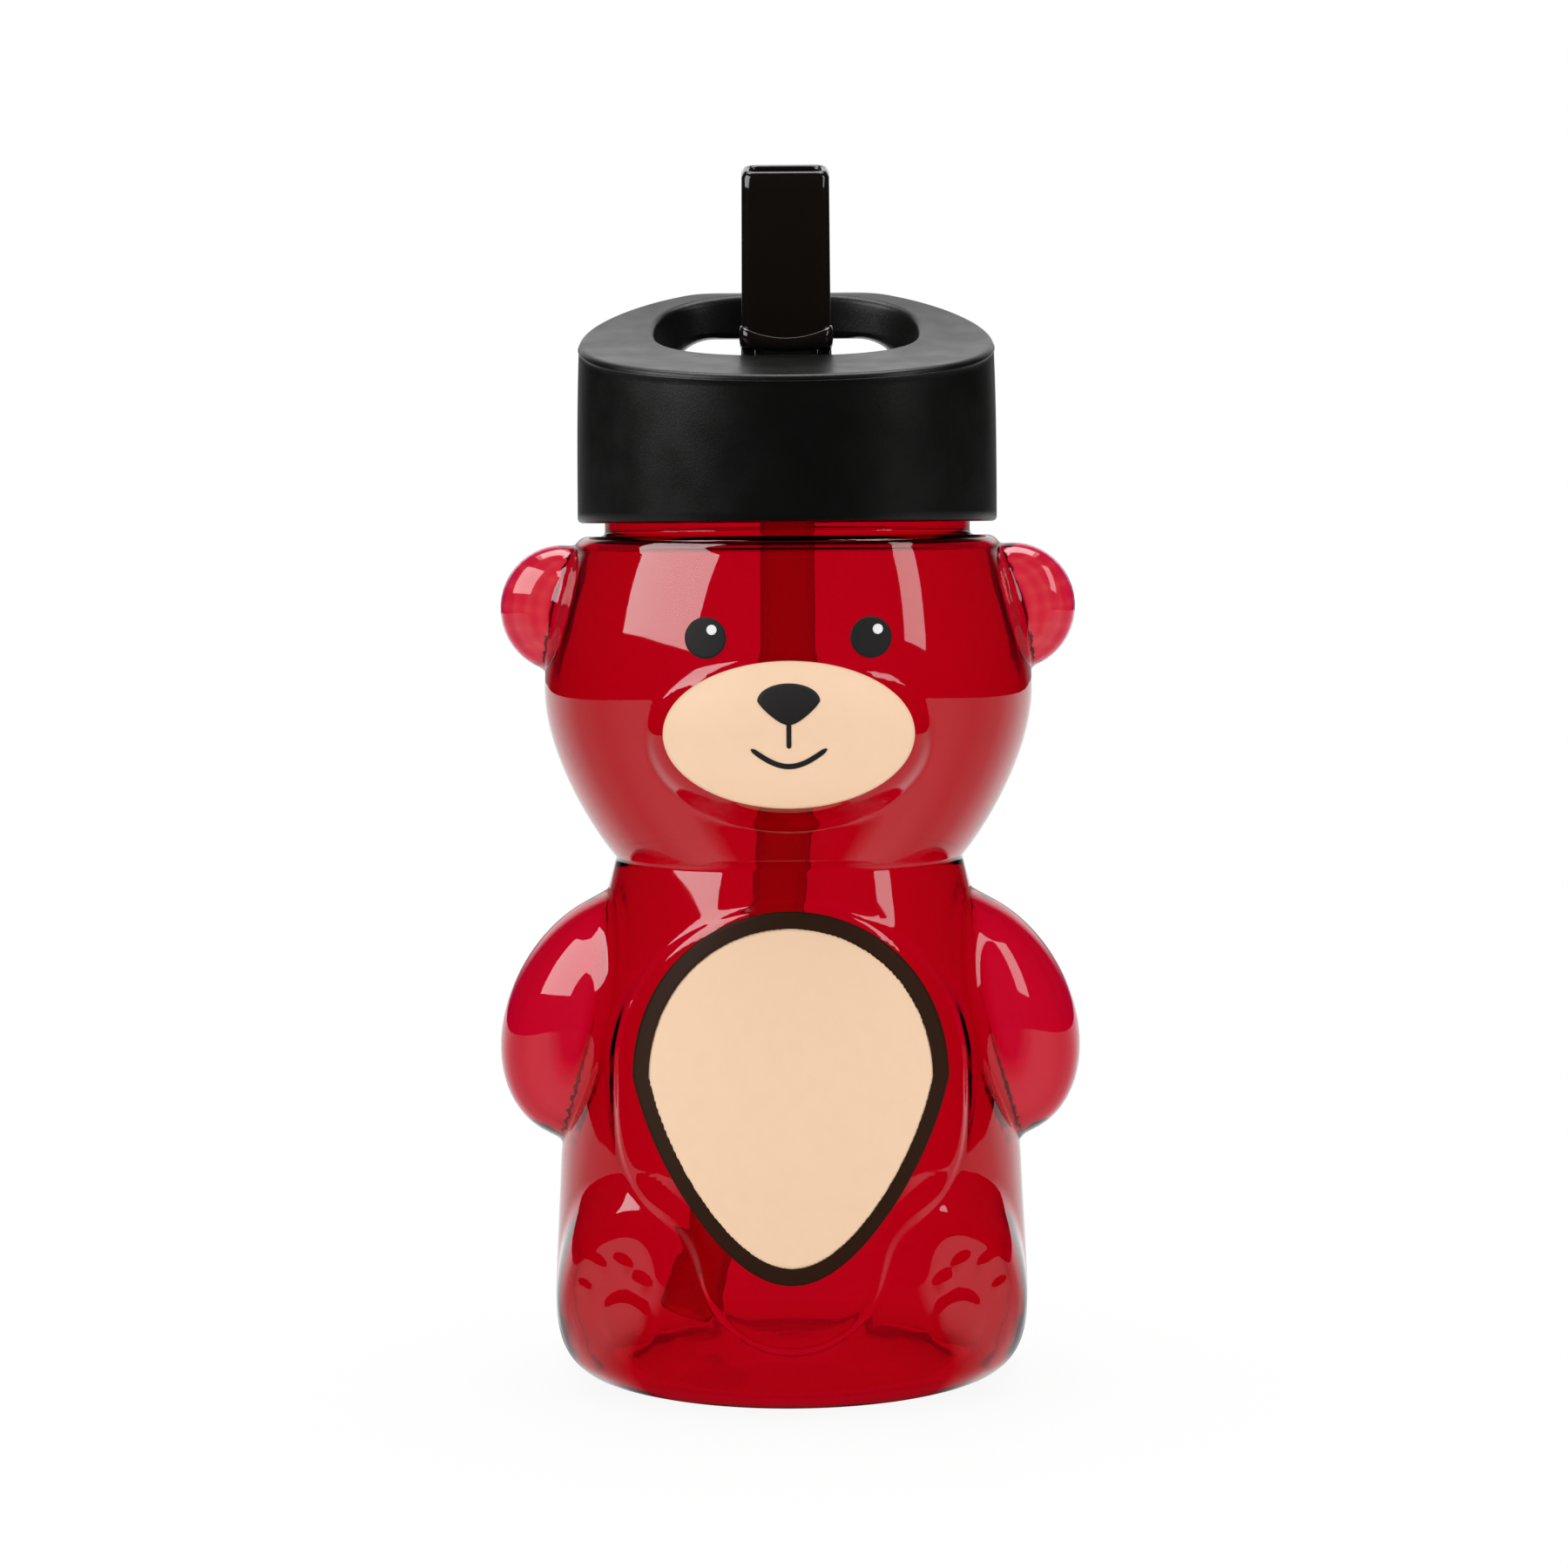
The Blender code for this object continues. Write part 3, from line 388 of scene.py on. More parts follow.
# Bear body

def run(start, end, first, second, count):
    """Points of one curve of the outline. The handles are shares of its span."""
    start, end = Vector((start[0], start[1], 0)), Vector((end[0], end[1], 0))
    span = end - start
    handles = [start + Vector((span.x * s, span.y * t, 0)) for s, t in (first, second)]
    return [p * MM for p in interpolate_bezier(start, handles[0], handles[1], end, count + 1)]


def body_outline(detail):
    """Outer outline of the turned body as (radius, height) vectors, from the base's middle up."""
    runs = [
        ((0.0, 4.2), (24.5, 0.0), (0.6, 0.0), (0.88, 0.85), 10),
        ((26.5, 0.0), (35.2, 11.0), (0.72, 0.0), (1.0, 0.32), 16),
        ((35.2, 11.0), (34.3, 31.0), (0.0, 0.2), (0.67, 0.65), 40),
        ((34.3, 31.0), (25.7, 76.6), (0.05, 0.24), (0.66, 0.77), 66),
        ((25.7, 76.6), (36.1, 101.5), (0.28, 0.13), (1.0, 0.6), 36),
        ((36.1, 101.5), (31.5, 122.0), (0.0, 0.3), (0.46, 0.7), 28),
        ((31.5, 122.0), (29.5, 124.0), (0.0, 0.55), (0.45, 1.0), 8),
    ]
    outline = []
    for start, end, first, second, count in runs:
        points = run(start, end, first, second, max(2, round(count * detail)))
        if outline and (outline[-1] - points[0]).length < MM / 100:
            points = points[1:]
        outline += points
    return outline


def inset(outline, depth):
    """The outline moved square to itself, into the body."""
    moved = []
    for i, point in enumerate(outline):
        along = (outline[min(i + 1, len(outline) - 1)] - outline[max(i - 1, 0)]).normalized()
        moved.append(point + Vector((-along.y, along.x, 0)) * depth)
    moved[0].x = 0.0
    return moved


def ball(centre, halves, wall, lean=0.0, splay=0.0):
    """A ball in mm as its centre and the matrix that makes it a unit ball at the origin."""
    shrink = Matrix.Diagonal([1 / ((half - wall) * MM) for half in halves])
    aslant = Matrix(((1, 0, splay), (0, 1, 0), (0, 0, 1)))
    return Vector(centre) * MM, shrink @ Matrix.Rotation(lean, 3, "Y") @ aslant


def swellings(wall):
    """Ears, arms, feet and muzzle as balls, each made smaller by a wall, which blowing thins."""
    found = [ball((0, -24.0, MUZZLE_HEIGHT), (21.0, 17.0, 14.5), wall)]
    turn, arm_lean = math.radians(43.0), math.radians(29.6)
    for side in (-1, 1):
        ear, arm = (side * 33.4, 0, 113.4), (side * 27.1, 0, 53.1)
        foot = (side * 22.5 * math.cos(turn), -22.5 * math.sin(turn), 18.6)
        found.append(ball(ear, (9.2, 5.6, 9.4), wall * EAR_THINNED))
        found.append(ball(arm, (14.6, 14.0, 19.9), wall * ARM_THINNED, side * arm_lean))
        found.append(ball(foot, (16.7, 16.5, 19.2), wall, splay=side * 0.17))
    return found


def reach(point, direction, one):
    """How far along a ray the skin of a ball lies, which runs on below zero past its edge."""
    centre, to_ball = one
    start = to_ball @ (point - centre)
    step = to_ball @ direction
    a, b, c = step.dot(step), start.dot(step), start.dot(start) - 1
    inside = b * b - a * c
    root = math.sqrt(abs(inside))
    return (-b + (root if inside > 0 else -root)) / a


def tummy_depth(x, z):
    """How far inside the raised tummy's edge a point of the front lies."""
    x, z = abs(x) / MM, z / MM
    tall, power = (24.7, 2.0) if z > TUMMY_HEIGHT else (20.9, 3.5)
    panel = ((x / TUMMY_HALF) ** power + (abs(z - TUMMY_HEIGHT) / tall) ** power) ** (1 / power)
    tongue = math.hypot(x / TONGUE_HALF, (z - 22) / TONGUE_TALL)
    return smooth_max((1 - panel) * 22.0, (1 - tongue) * TONGUE_TALL, 8.0) * MM


SOLE = Vector((0.51, -0.86, 0.0)).normalized()
SOLE_OUT = 36.0 * MM
HEEL = (23.5, 12.8, 4.4)
# Each toe: place across and up, half length and half width
TOES = ((29.6, 16.6, 2.0, 1.3), (27.5, 20.0, 2.3, 1.6), (24.2, 20.6, 2.4, 1.8), (21.6, 18.4, 2.1, 1.5))


def pad_raise(x, z):
    """Raised paw pads on the soles: four toes over a round heel."""
    x, z = abs(x) / MM, z / MM
    if not (16 < x < 34 and 4 < z < 26):
        return 0.0
    cx, cz, radius = HEEL
    found = 0.22 * smooth_step(0.0, 1.7, radius - math.hypot(x - cx, z - cz))
    for cx, cz, long, short in TOES:
        along, across = (x - cx) * 0.79 + (z - cz) * 0.61, (z - cz) * 0.79 - (x - cx) * 0.61
        found = max(found, 0.17 * max(0.0, 1 - math.hypot(along / long, across / short) ** 2) ** 2)
    return found * MM


def sole_reach(point, direction, side, out, wall):
    """Flatten a foot's ball where its sole faces the front."""
    facing = Vector((side * SOLE.x, SOLE.y, 0.0))
    slope = direction.dot(facing)
    if slope < 0.3:
        return out
    flat = (SOLE_OUT - wall - point.dot(facing)) / slope
    return -smooth_max(-out, -flat, 1.5 * MM)


def crowd(angle):
    """Turn a column's angle so that more columns stand at the front than at the back."""
    from_front = (angle + math.pi / 2 + math.pi) % math.tau - math.pi
    return -0.6 * math.sin(from_front) + 0.125 * math.sin(2 * from_front)


def heading(point):
    """Which way a point of the turned body moves out: square to it, but fanned out at ears and arms."""
    side, across = math.copysign(1, point.x), smooth_step(5 * MM, 20 * MM, abs(point.x))
    fan = blend(12 * MM, 22 * MM, smooth_step(80 * MM, 100 * MM, point.z))
    focus = side * across * smooth_step(20 * MM, 40 * MM, point.z) * fan
    under_ear = smooth_step(96 * MM, 103 * MM, point.z) * (1 - smooth_step(103 * MM, 113 * MM, point.z))
    lift = math.radians(40) * smooth_step(108 * MM, SHOULDER - SHOULDER_ROUNDING, point.z)
    lift -= math.radians(24) * under_ear
    level = Vector((point.x - focus, point.y, 0)).normalized()
    return level * math.cos(lift) + Vector((0, 0, math.sin(lift)))


def gather(point, radius_at):
    """Draw points of the turned body towards the tummy's edge, so that its step comes out crisp."""
    depth, reach_in, step = tummy_depth(point.x, point.z), 3.2 * MM, 0.1 * MM
    if point.y > 0 or abs(depth) > reach_in or not 6 * MM < point.z < 76 * MM:
        return point
    across = (tummy_depth(point.x + step, point.z) - depth) / step
    along = (tummy_depth(point.x, point.z + step) - depth) / step
    share = depth / reach_in
    pull = (reach_in * share * (0.3 + 0.7 * share * share) - depth) / max(math.hypot(across, along), 0.2)
    slope = math.hypot(across, along) or 1.0
    x, z = point.x + pull * across / slope, point.z + pull * along / slope
    radius = radius_at(z)
    return Vector((x, -math.sqrt(max(radius * radius - x * x, 0.0)), z))


def swell(point, found, outside):
    """Move a point of the turned body out to the bear's skin."""
    radius = math.hypot(point.x, point.y)
    fade = smooth_step(0, 5 * MM, point.z)
    if fade == 0 or point.z > SHOULDER or radius < NECK - 2 * WALL:
        return point
    outward, direction = Vector((point.x, point.y, 0)) / radius, heading(point)
    melt = blend(6.0, 2.8, smooth_step(12 * MM, 26 * MM, point.z)) * MM
    melt = blend(melt, 1.3 * MM, smooth_step(75 * MM, 85 * MM, point.z))
    out = 0.0
    for one in found:
        far = reach(point, direction, one)
        if one[0].z < 20 * MM:
            side = math.copysign(1, one[0].x)
            far = sole_reach(point, direction, side, far, 0.0 if outside else WALL)
        out = smooth_max(out, far, melt)
    moved = point + direction * out * fade
    if point.y < 0:
        edge = 0.7 * MM if outside else 1.3 * MM
        moved += outward * TUMMY_STEP * smooth_step(-edge, edge, tummy_depth(point.x, point.z))
        if outside:
            moved += outward * pad_raise(moved.x, moved.z)
    return moved


def thread(angle, height, start, turns):
    """How far up a thread's ridge a point lies, from 0 at the root to 1 on the crest."""
    found = 0.0
    for lap in range(math.ceil(turns)):
        turned_by = (angle % math.tau) / math.tau + lap
        if turned_by > turns:
            continue
        off = abs(height - start - PITCH * turned_by)
        ends = smooth_step(0, 0.09, turned_by) * smooth_step(0, 0.09, turns - turned_by)
        found = max(found, ends * min(1.0, max(0.0, (1.3 * MM - off) / (0.7 * MM))))
    return found


def bear_shell():
    """The hollow bear: spun in one line, inside and out, then swollen."""
    outside = body_outline(1.0)
    neck = [(27.6, 124.0), (27.2, 124.2), (27.0, 124.6)]
    neck += [(27.0, 124.6 + 15.9 * i / 34) for i in range(1, 35)]
    neck += [(26.85, 140.85), (26.5, 141.0), (26.3, 141.0), (25.95, 140.85)]
    neck += [(25.8, 140.5 - 17.0 * i / 8) for i in range(9)]
    neck += [(25.95, 122.95), (26.4, 122.8)]
    inside = inset(body_outline(0.4), WALL)[::-1]
    line = outside + [Vector((r * MM, z * MM, 0)) for r, z in neck] + inside
    marks = [0] * (len(line) - len(inside)) + [1] * len(inside)
    shape = bmesh.new()
    layer = spin_line(shape, [(p.x, 0, p.y) for p in line], BODY_COLUMNS, marks)
    skin, lining = swellings(0.0), swellings(WALL / MM)
    rising = [p for p in outside if p.y > 5 * MM]

    def radius_at(z):
        above = bisect.bisect_left(rising, z, key=lambda p: p.y)
        low, high = rising[max(above - 1, 0)], rising[min(above, len(rising) - 1)]
        return blend(low.x, high.x, (z - low.y) / (high.y - low.y) if high.y > low.y else 0.0)

    for vert in shape.verts:
        place = Matrix.Rotation(crowd(math.atan2(vert.co.y, vert.co.x)), 3, "Z") @ vert.co
        if vert[layer]:
            place = swell(place, lining, False)
        else:
            place = swell(gather(place, radius_at), skin, True)
        if place.z > SHOULDER + MM and math.hypot(place.x, place.y) > NECK - 0.1 * MM:
            ridge = thread(math.atan2(place.y, place.x), place.z, 129.5 * MM, 1.5)
            outward = Vector((place.x, place.y, 0)).normalized()
            place += outward * 1.4 * MM * ridge
        vert.co = place
    return shape


# Printed face and tummy

def skin_point(tree, x, z, lift):
    """The spot on the skin behind a point of the front view, lifted off it a little."""
    hit, normal, _, _ = tree.ray_cast(Vector((x, -0.09, z)), Vector((0, 1, 0)))
    return hit - normal * math.copysign(lift, normal.y)


def printed(name, tree, inner, outer, made, lift=0.05, rings=6, steps=72):
    """A thin patch of ink on the skin, between two outlines given as angle -> (x, z) in mm."""
    shape = bmesh.new()
    spin_line(shape, [((0.0 if i == 0 else i / rings) + 1, 0, 0) for i in range(rings + 1)], steps)
    for vert in shape.verts:
        share = vert.co.length - 1
        angle = math.atan2(vert.co.y, vert.co.x)
        x, z = (blend(a, b, share) * MM for a, b in zip(inner(angle), outer(angle)))
        vert.co = skin_point(tree, x, z, lift * MM)
    bmesh.ops.remove_doubles(shape, verts=shape.verts, dist=MM / 1000)
    inked(name, shape, made)


def inked(name, shape, made):
    """Keep a patch as a thin film that faces the front."""
    bmesh.ops.recalc_face_normals(shape, faces=shape.faces)
    if sum(face.normal.y for face in shape.faces) > 0:
        bmesh.ops.reverse_faces(shape, faces=shape.faces)
    obj = keep(name, shape, made, "bear", straight=True)
    thick = obj.modifiers.new("ink", "SOLIDIFY")
    thick.thickness = 0.08 * MM
    thick.offset = 1.0


def stroke(name, tree, path, half_width, made):
    """A thin printed line along a path given as share -> (x, z) in mm."""
    shape = bmesh.new()
    bmesh.ops.create_grid(shape, x_segments=32, y_segments=4, size=1.0)
    for vert in shape.verts:
        share, across = (vert.co.x + 1) / 2, vert.co.y
        here, ahead = Vector(path(share)), Vector(path(share + 0.01))
        along = (ahead - here).normalized()
        taper = math.sqrt(max(0.0, 1 - abs(2 * share - 1) ** 12))
        spot = here + Vector((-along.y, along.x)) * across * half_width * (0.25 + 0.75 * taper)
        vert.co = skin_point(tree, spot.x * MM, spot.y * MM, 0.15 * MM)
    inked(name, shape, made)


def oval(x, z, wide, up, down=None, taper=0.0):
    """An egg outline about a point, narrower below by its taper."""
    def at(angle):
        rise = math.sin(angle)
        tall = up if rise > 0 else (down or up)
        return x + wide * math.cos(angle) * (1 + taper * min(rise, 0.0)), z + tall * rise
    return at


def dot(x, z):
    return lambda angle: (x, z)


def prints(tree):
    rim_in = oval(0, TUMMY_HEIGHT, 20.0, 21.4, 25.4, 0.3)
    rim_out = oval(0, TUMMY_HEIGHT, 22.5, 23.9, 27.9, 0.3)
    patch = oval(0, TUMMY_HEIGHT, 20.1, 21.5, 25.5, 0.3)
    muzzle = oval(0, MUZZLE_HEIGHT, 17.5, 10.2)
    nose = oval(0, 101.2, 4.3, 2.4, 3.2, 0.45)
    printed("tummy_rim", tree, rim_in, rim_out, brown_ink, steps=160)
    printed("tummy_patch", tree, dot(0, TUMMY_HEIGHT), patch, cream_ink, rings=44, steps=160)
    printed("muzzle_patch", tree, dot(0, MUZZLE_HEIGHT), muzzle, cream_ink, rings=30, steps=128)
    printed("nose", tree, dot(0, 101.2), nose, dark_ink, lift=0.16, rings=8)
    stroke("lip_line", tree, lambda s: (0.0, 98.4 - 3.6 * s), 0.34, dark_ink)
    stroke("smile", tree, lambda s: (-5.2 + 10.4 * s, 94.7 - 2.4 * math.sin(math.pi * s)), 0.36, dark_ink)
    for side, word in ((-1, "left"), (1, "right")):
        eye = side * 11.5, 109.8
        glint = side * 11.5 + 0.9, 110.9
        printed("eye_" + word, tree, dot(*eye), oval(*eye, 2.9, 2.9), dark_ink, rings=8)
        small = oval(*glint, 0.7, 0.7)
        printed("glint_" + word, tree, dot(*glint), small, white_ink, lift=0.16, rings=3, steps=32)


# Lid

def lid_top(y):
    """Height of the lid's top: a ramp that bends softly up the loop to its flat crown."""
    high = smooth_max(CREASE + y * RAMP_SLOPE, CREASE + y * LOOP_SLOPE, 4.4 * MM)
    return -smooth_max(-high, -LOOP_TOP, 0.5 * MM)


def well_reach(angle):
    """Distance from the bottle's axis to the well's wall, in one direction."""
    low, high = 5 * MM, 30 * MM
    for _ in range(26):
        middle = (low + high) / 2
        x = abs(middle * math.cos(angle)) / WELL_WIDTH
        y = abs(middle * math.sin(angle) - WELL_CENTRE) / WELL_LENGTH
        low, high = (middle, high) if x ** WELL_POWER + y ** WELL_POWER < 1 else (low, middle)
    return low


# The moulding's parting line: how far it stands out, and how far it lies below the rim
PARTING_LINE = ((0.02, 0.24), (0.1, 0.2), (0.12, 0.14), (0.1, 0.08), (0.0, 0.02))


def lid_stations():
    """The lid's section as steps of (kind, share, height), from under the deck round to its top."""
    # Deck's underside, plug ring, gasket seat, threaded wall, skirt's foot
    turned_part = [(0, SEAT), (16, SEAT), (22.9, SEAT), (23.2, SEAT - 0.3 * MM), (23.2, SEAT - 3.3 * MM)]
    turned_part += [(23.5, SEAT - 3.6 * MM), (24.0, SEAT - 3.6 * MM), (24.4, SEAT - 3.0 * MM)]
    turned_part += [(24.4, SEAT - 0.3 * MM), (24.7, SEAT), (28.9, SEAT), (29.2, SEAT - 0.3 * MM)]
    turned_part += [(29.2, blend(SEAT - 0.3 * MM, LID_BOTTOM + 0.5 * MM, i / 36)) for i in range(1, 37)]
    turned_part += [(29.4, LID_BOTTOM), (30.4, LID_BOTTOM), (30.82, LID_BOTTOM + 0.18 * MM)]
    stations = [("turned", r * MM, z) for r, z in turned_part]
    stations += [("skirt", i / 24, 0) for i in range(25)]
    stations += [("flash", out * MM, down * MM) for out, down in PARTING_LINE]
    stations += [("rim", math.radians(90 * i / 8), 0) for i in range(1, 9)]
    stations += [("ramp", i / 30, 0) for i in range(1, 31)]
    stations += [("edge", math.radians(90 * i / 5), 0) for i in range(1, 6)]
    stations += [("well", i / 10, 0) for i in range(1, 11)]
    stations += [("foot", math.radians(90 * i / 4), 0) for i in range(1, 5)]
    stations += [("deck", i / 6, 0) for i in range(1, 7)]
    return stations


def lid_point(kind, share, height, angle, well):
    """Where a step of the lid's section lies, in one direction from the axis."""
    c, s = math.cos(angle), math.sin(angle)
    edge, foot, top_radius = WELL_EDGE, 0.7 * MM, LID_RADIUS - LID_DRAFT
    radius, z = share, height

    def top_at(far):
        return lid_top(far * s)

    if kind == "turned" and abs(radius - LID_INNER) < MM / 100:
        radius -= 1.7 * MM * thread(angle, z, 127.8 * MM, 1.2)
    if kind == "skirt":
        radius = blend(LID_RADIUS, top_radius, share ** 3)
        z = blend(LID_BOTTOM + 0.6 * MM, top_at(top_radius) - RIM - 0.3 * MM, share)
    if kind == "flash":
        radius = top_radius + share
        z = top_at(top_radius) - RIM - height
    if kind == "rim":
        radius = top_radius - RIM + RIM * math.cos(share)
        z = top_at(radius) - RIM + RIM * math.sin(share)
    if kind == "ramp":
        radius = blend(top_radius - RIM, well + edge, share)
        z = top_at(radius)
    if kind == "edge":
        radius = well + edge - edge * math.sin(share)
        z = top_at(radius) - edge + edge * math.cos(share)
    if kind == "well":
        radius = well
        z = blend(top_at(well) - edge, DECK + foot, share)
    if kind == "foot":
        radius = well - foot + foot * math.cos(share)
        z = DECK + foot - foot * math.sin(share)
    if kind == "deck":
        radius, z = (well - foot) * (1 - share), DECK
    return Vector((radius * c, radius * s, z))


def arch_points(grow):
    """Outline of the finger gap, grown all round, as (x, height)."""
    points = []
    low, high = DECK + 0.4 * MM, DECK + 9.5 * MM
    wide = 18 * MM
    corners = ((1, 1, 7.0, 0), (-1, 1, 7.0, 1), (-1, -1, 1.2, 2), (1, -1, 1.2, 3))
    for across, along, rounding, start in corners:
        r = rounding * MM
        centre = Vector((across * (wide - r), (high - r) if along > 0 else (low + r)))
        for i in range(13):
            angle = (start + i / 12) * math.pi / 2
            points.append(centre + Vector((math.cos(angle), math.sin(angle))) * (r + grow))
    return points


def arch_tool():
    """Cutter for the finger gap, flared at both faces of the loop so that its edges come out round."""
    rounding = 0.7 * MM
    depths = [d * MM for d in (-3.0, 0.0, 0.12, 0.35, 0.7)]
    rings = []
    for outer, d in [(False, d) for d in depths] + [(True, d) for d in reversed(depths)]:
        side = rounding - min(max(d, 0.0), rounding)
        grow = rounding - math.sqrt(rounding ** 2 - side ** 2)
        ring = []
        for p in arch_points(grow):
            if outer:
                y = math.sqrt(LID_RADIUS ** 2 - p.x ** 2) - d
            else:
                bow = (1 - abs(p.x / WELL_WIDTH) ** WELL_POWER) ** (1 / WELL_POWER)
                y = WELL_CENTRE + WELL_LENGTH * bow + d
            ring.append(Vector((p.x, y, p.y)))
        if d < 0:
            level = (max if outer else min)(p.y for p in ring)
            ring = [Vector((p.x, level, p.z)) for p in ring]
        rings.append(ring)
    return capped(stack(rings))


def lid_shell():
    """The lid, spun as one section, with the finger gap, the straw's port and the vent cut out."""
    stations = lid_stations()
    line = [((10 + i) * MM, 0, i * MM) for i in range(len(stations))]
    line[0], line[-1] = (0, 0, 0), (0, 0, len(stations) * MM)
    shape = bmesh.new()
    layer = spin_line(shape, line, LID_COLUMNS)
    reaches = {}
    for vert in shape.verts:
        angle = math.atan2(vert.co.y, vert.co.x)
        key = round(angle, 5)
        if key not in reaches:
            reaches[key] = well_reach(angle)
        vert.co = lid_point(*stations[vert[layer]], angle, reaches[key])
    lid = keep("lid_shell", shape, lid_plastic, "lid", ("lid",), 35)
    carve(lid, arch_tool())
    carve(lid, drill(3.4 * MM, SEAT - MM, DECK + MM, 48, SPOUT_LINE))
    carve(lid, drill(1.3 * MM, SEAT - MM, DECK + MM, 32, VALVE_PLACE))


def cheek(side):
    """A round-headed post that holds one end of the spout's pivot."""
    shape = bmesh.new()
    head = 3.15 * MM
    round_head = [math.pi * i / 24 for i in range(25)]
    points = [(PIVOT.y + head, DECK - 0.5 * MM)]
    points += [(PIVOT.y + head * math.cos(a), PIVOT.z + head * math.sin(a)) for a in round_head]
    points += [(PIVOT.y - head, DECK - 0.5 * MM)]
    near, far = side * CHEEK_NEAR, side * CHEEK_FAR
    face = shape.faces.new([shape.verts.new((near, y, z)) for y, z in points])
    made = bmesh.ops.extrude_face_region(shape, geom=[face])["geom"]
    moved = [v for v in made if isinstance(v, bmesh.types.BMVert)]
    bmesh.ops.translate(shape, verts=moved, vec=(far - near, 0, 0))
    bmesh.ops.recalc_face_normals(shape, faces=shape.faces)
    soften(shape, 0.3 * MM)
    post = keep("cheek_right" if side > 0 else "cheek_left", shape, lid_plastic, "lid")
    carve(post, rod(TRUNNION_HOLE, 8 * MM, 0))


def socket():
    """Tube under the deck that holds the seal and the straw."""
    low, high = SEAT - 11.7 * MM, SEAT + 0.5 * MM
    profile = [(5.7 * MM, low), (7.2 * MM, low), (7.2 * MM, high), (5.7 * MM, high)]
    keep("straw_socket", turned(profile, 48, SPOUT_LINE, 0.2 * MM), lid_plastic, "lid")


# Spout

def mouthpiece():
    """Flat drinking tube: rolled collar that climbs to its corners, slanted open tip."""
    rings = []

    def ring(up, out, corner, dip=0.0, lip=0.0):
        """One ring, that sags at its front by a dip and stands out there by a lip."""
        lean = 2.0 / 7.2 * smooth_step(MOUTH_START, MOUTH_TIP, up)
        loop = []
        for x, y in oblong(MOUTH_WIDE + out, MOUTH_DEEP + out, corner, parts=14):
            front = smooth_step(0.5 * MOUTH_DEEP, -0.5 * MOUTH_DEEP, y)
            rise = dip * blend(0.8, (x / MOUTH_WIDE) ** 2, front)
            y += lip * min(y / MOUTH_DEEP, 0.0)
            loop.append(Vector((x, PIVOT.y + y, up + rise - lean * (MOUTH_DEEP - y))))
        rings.append(loop)

    corner = 1.8 * MM
    foot, brow = -0.55 * MM, 1.73 * MM
    foot_dip, dip = 0.7 * MM, 1.6 * MM
    for i in range(15):
        angle = math.pi * (i / 14 - 0.5)
        share = 0.5 + 0.5 * math.sin(angle)
        out = math.cos(angle) * MM
        up, sag = MOUTH_START + blend(foot, brow, share), blend(foot_dip, dip, share)
        ring(up, 0.36 * out, corner, sag, 0.7 * out)
    for i in range(1, 15):
        share = i / 14
        up = blend(MOUTH_START + brow + 0.05 * MM, MOUTH_TIP - 0.9 * MM, share)
        ring(up, -0.1 * share * MM, corner, dip * (1 - share) ** 3)
    for i in range(1, 9):
        angle = math.pi * i / 8
        up = MOUTH_TIP - (0.5 - 0.5 * math.sin(angle)) * MM
        ring(up, (-0.85 + 0.5 * math.cos(angle)) * MM, corner - 0.5 * MM * i / 8)
    for i in range(1, 9):
        up = blend(MOUTH_TIP - 0.9 * MM, MOUTH_START + foot, i / 8)
        ring(up, -1.1 * MM, 1.25 * MM, foot_dip * i / 8)
    shape = looped(stack(rings + [rings[0]]))
    keep("mouthpiece_tube", shape, mouth_rubber, "spout", ("mouthpiece",), 60)


def pivot_core():
    """Barrel, trunnions, spigot and the bore through them."""
    barrel = rod(BARREL, BARREL_HALF, 0.1 * MM, 64)
    core = keep("pivot_core", barrel, pivot_plastic, "spout", ("spout_pivot",))
    carve(core, rod(TRUNNION, 6.4 * MM, 0.2 * MM), "UNION")
    for wide, deep, low, high in ((4.0, 2.2, 0.0, 12.0), (5.1, 2.15, 4.0, 11.9)):
        loops = []
        for z, lip in ((low, 0.0), (high - 0.3, 0.0), (high, 0.25)):
            outline = oblong((wide - lip) * MM, (deep - lip) * MM, 0.7 * MM)
            loops.append([Vector((x, PIVOT.y + y, PIVOT.z + z * MM)) for x, y in outline])
        carve(core, capped(stack(loops)), "UNION")
    carve(core, drill(1.5 * MM, PIVOT.z - 5 * MM, PIVOT.z + 14 * MM, 40, SPOUT_LINE))


def seal():
    """Soft plug under the barrel, with a saddle that the barrel wipes and a grip for the straw."""
    top, step, straw_top = PIVOT.z - 2.2 * MM, SEAT - 0.3 * MM, SEAT - 1.2 * MM
    low = step - 10.4 * MM
    profile = [(1.5, top), (1.5, straw_top + 0.3 * MM), (4.3, straw_top + 0.3 * MM), (4.3, low)]
    profile += [(5.4, low), (5.4, step), (3.1, step), (3.1, top)]
    shape = turned([(r * MM, z) for r, z in profile], 56, SPOUT_LINE, 0.15 * MM)
    plug = keep("seal_plug", shape, soft_rubber, "lid", ("spout_seal",))
    carve(plug, rod(BARREL + 0.3 * MM, 6 * MM, 0, 64))


def gasket():
    low, high = NECK_TOP + 0.3 * MM, SEAT - 0.3 * MM
    profile = [(GASKET_INNER, low), (GASKET_OUTER, low), (GASKET_OUTER, high), (GASKET_INNER, high)]
    shape = turned(profile, 120, soft=0.4 * MM)
    keep("gasket_ring", shape, soft_rubber, "gasket", ("lid_gasket",))


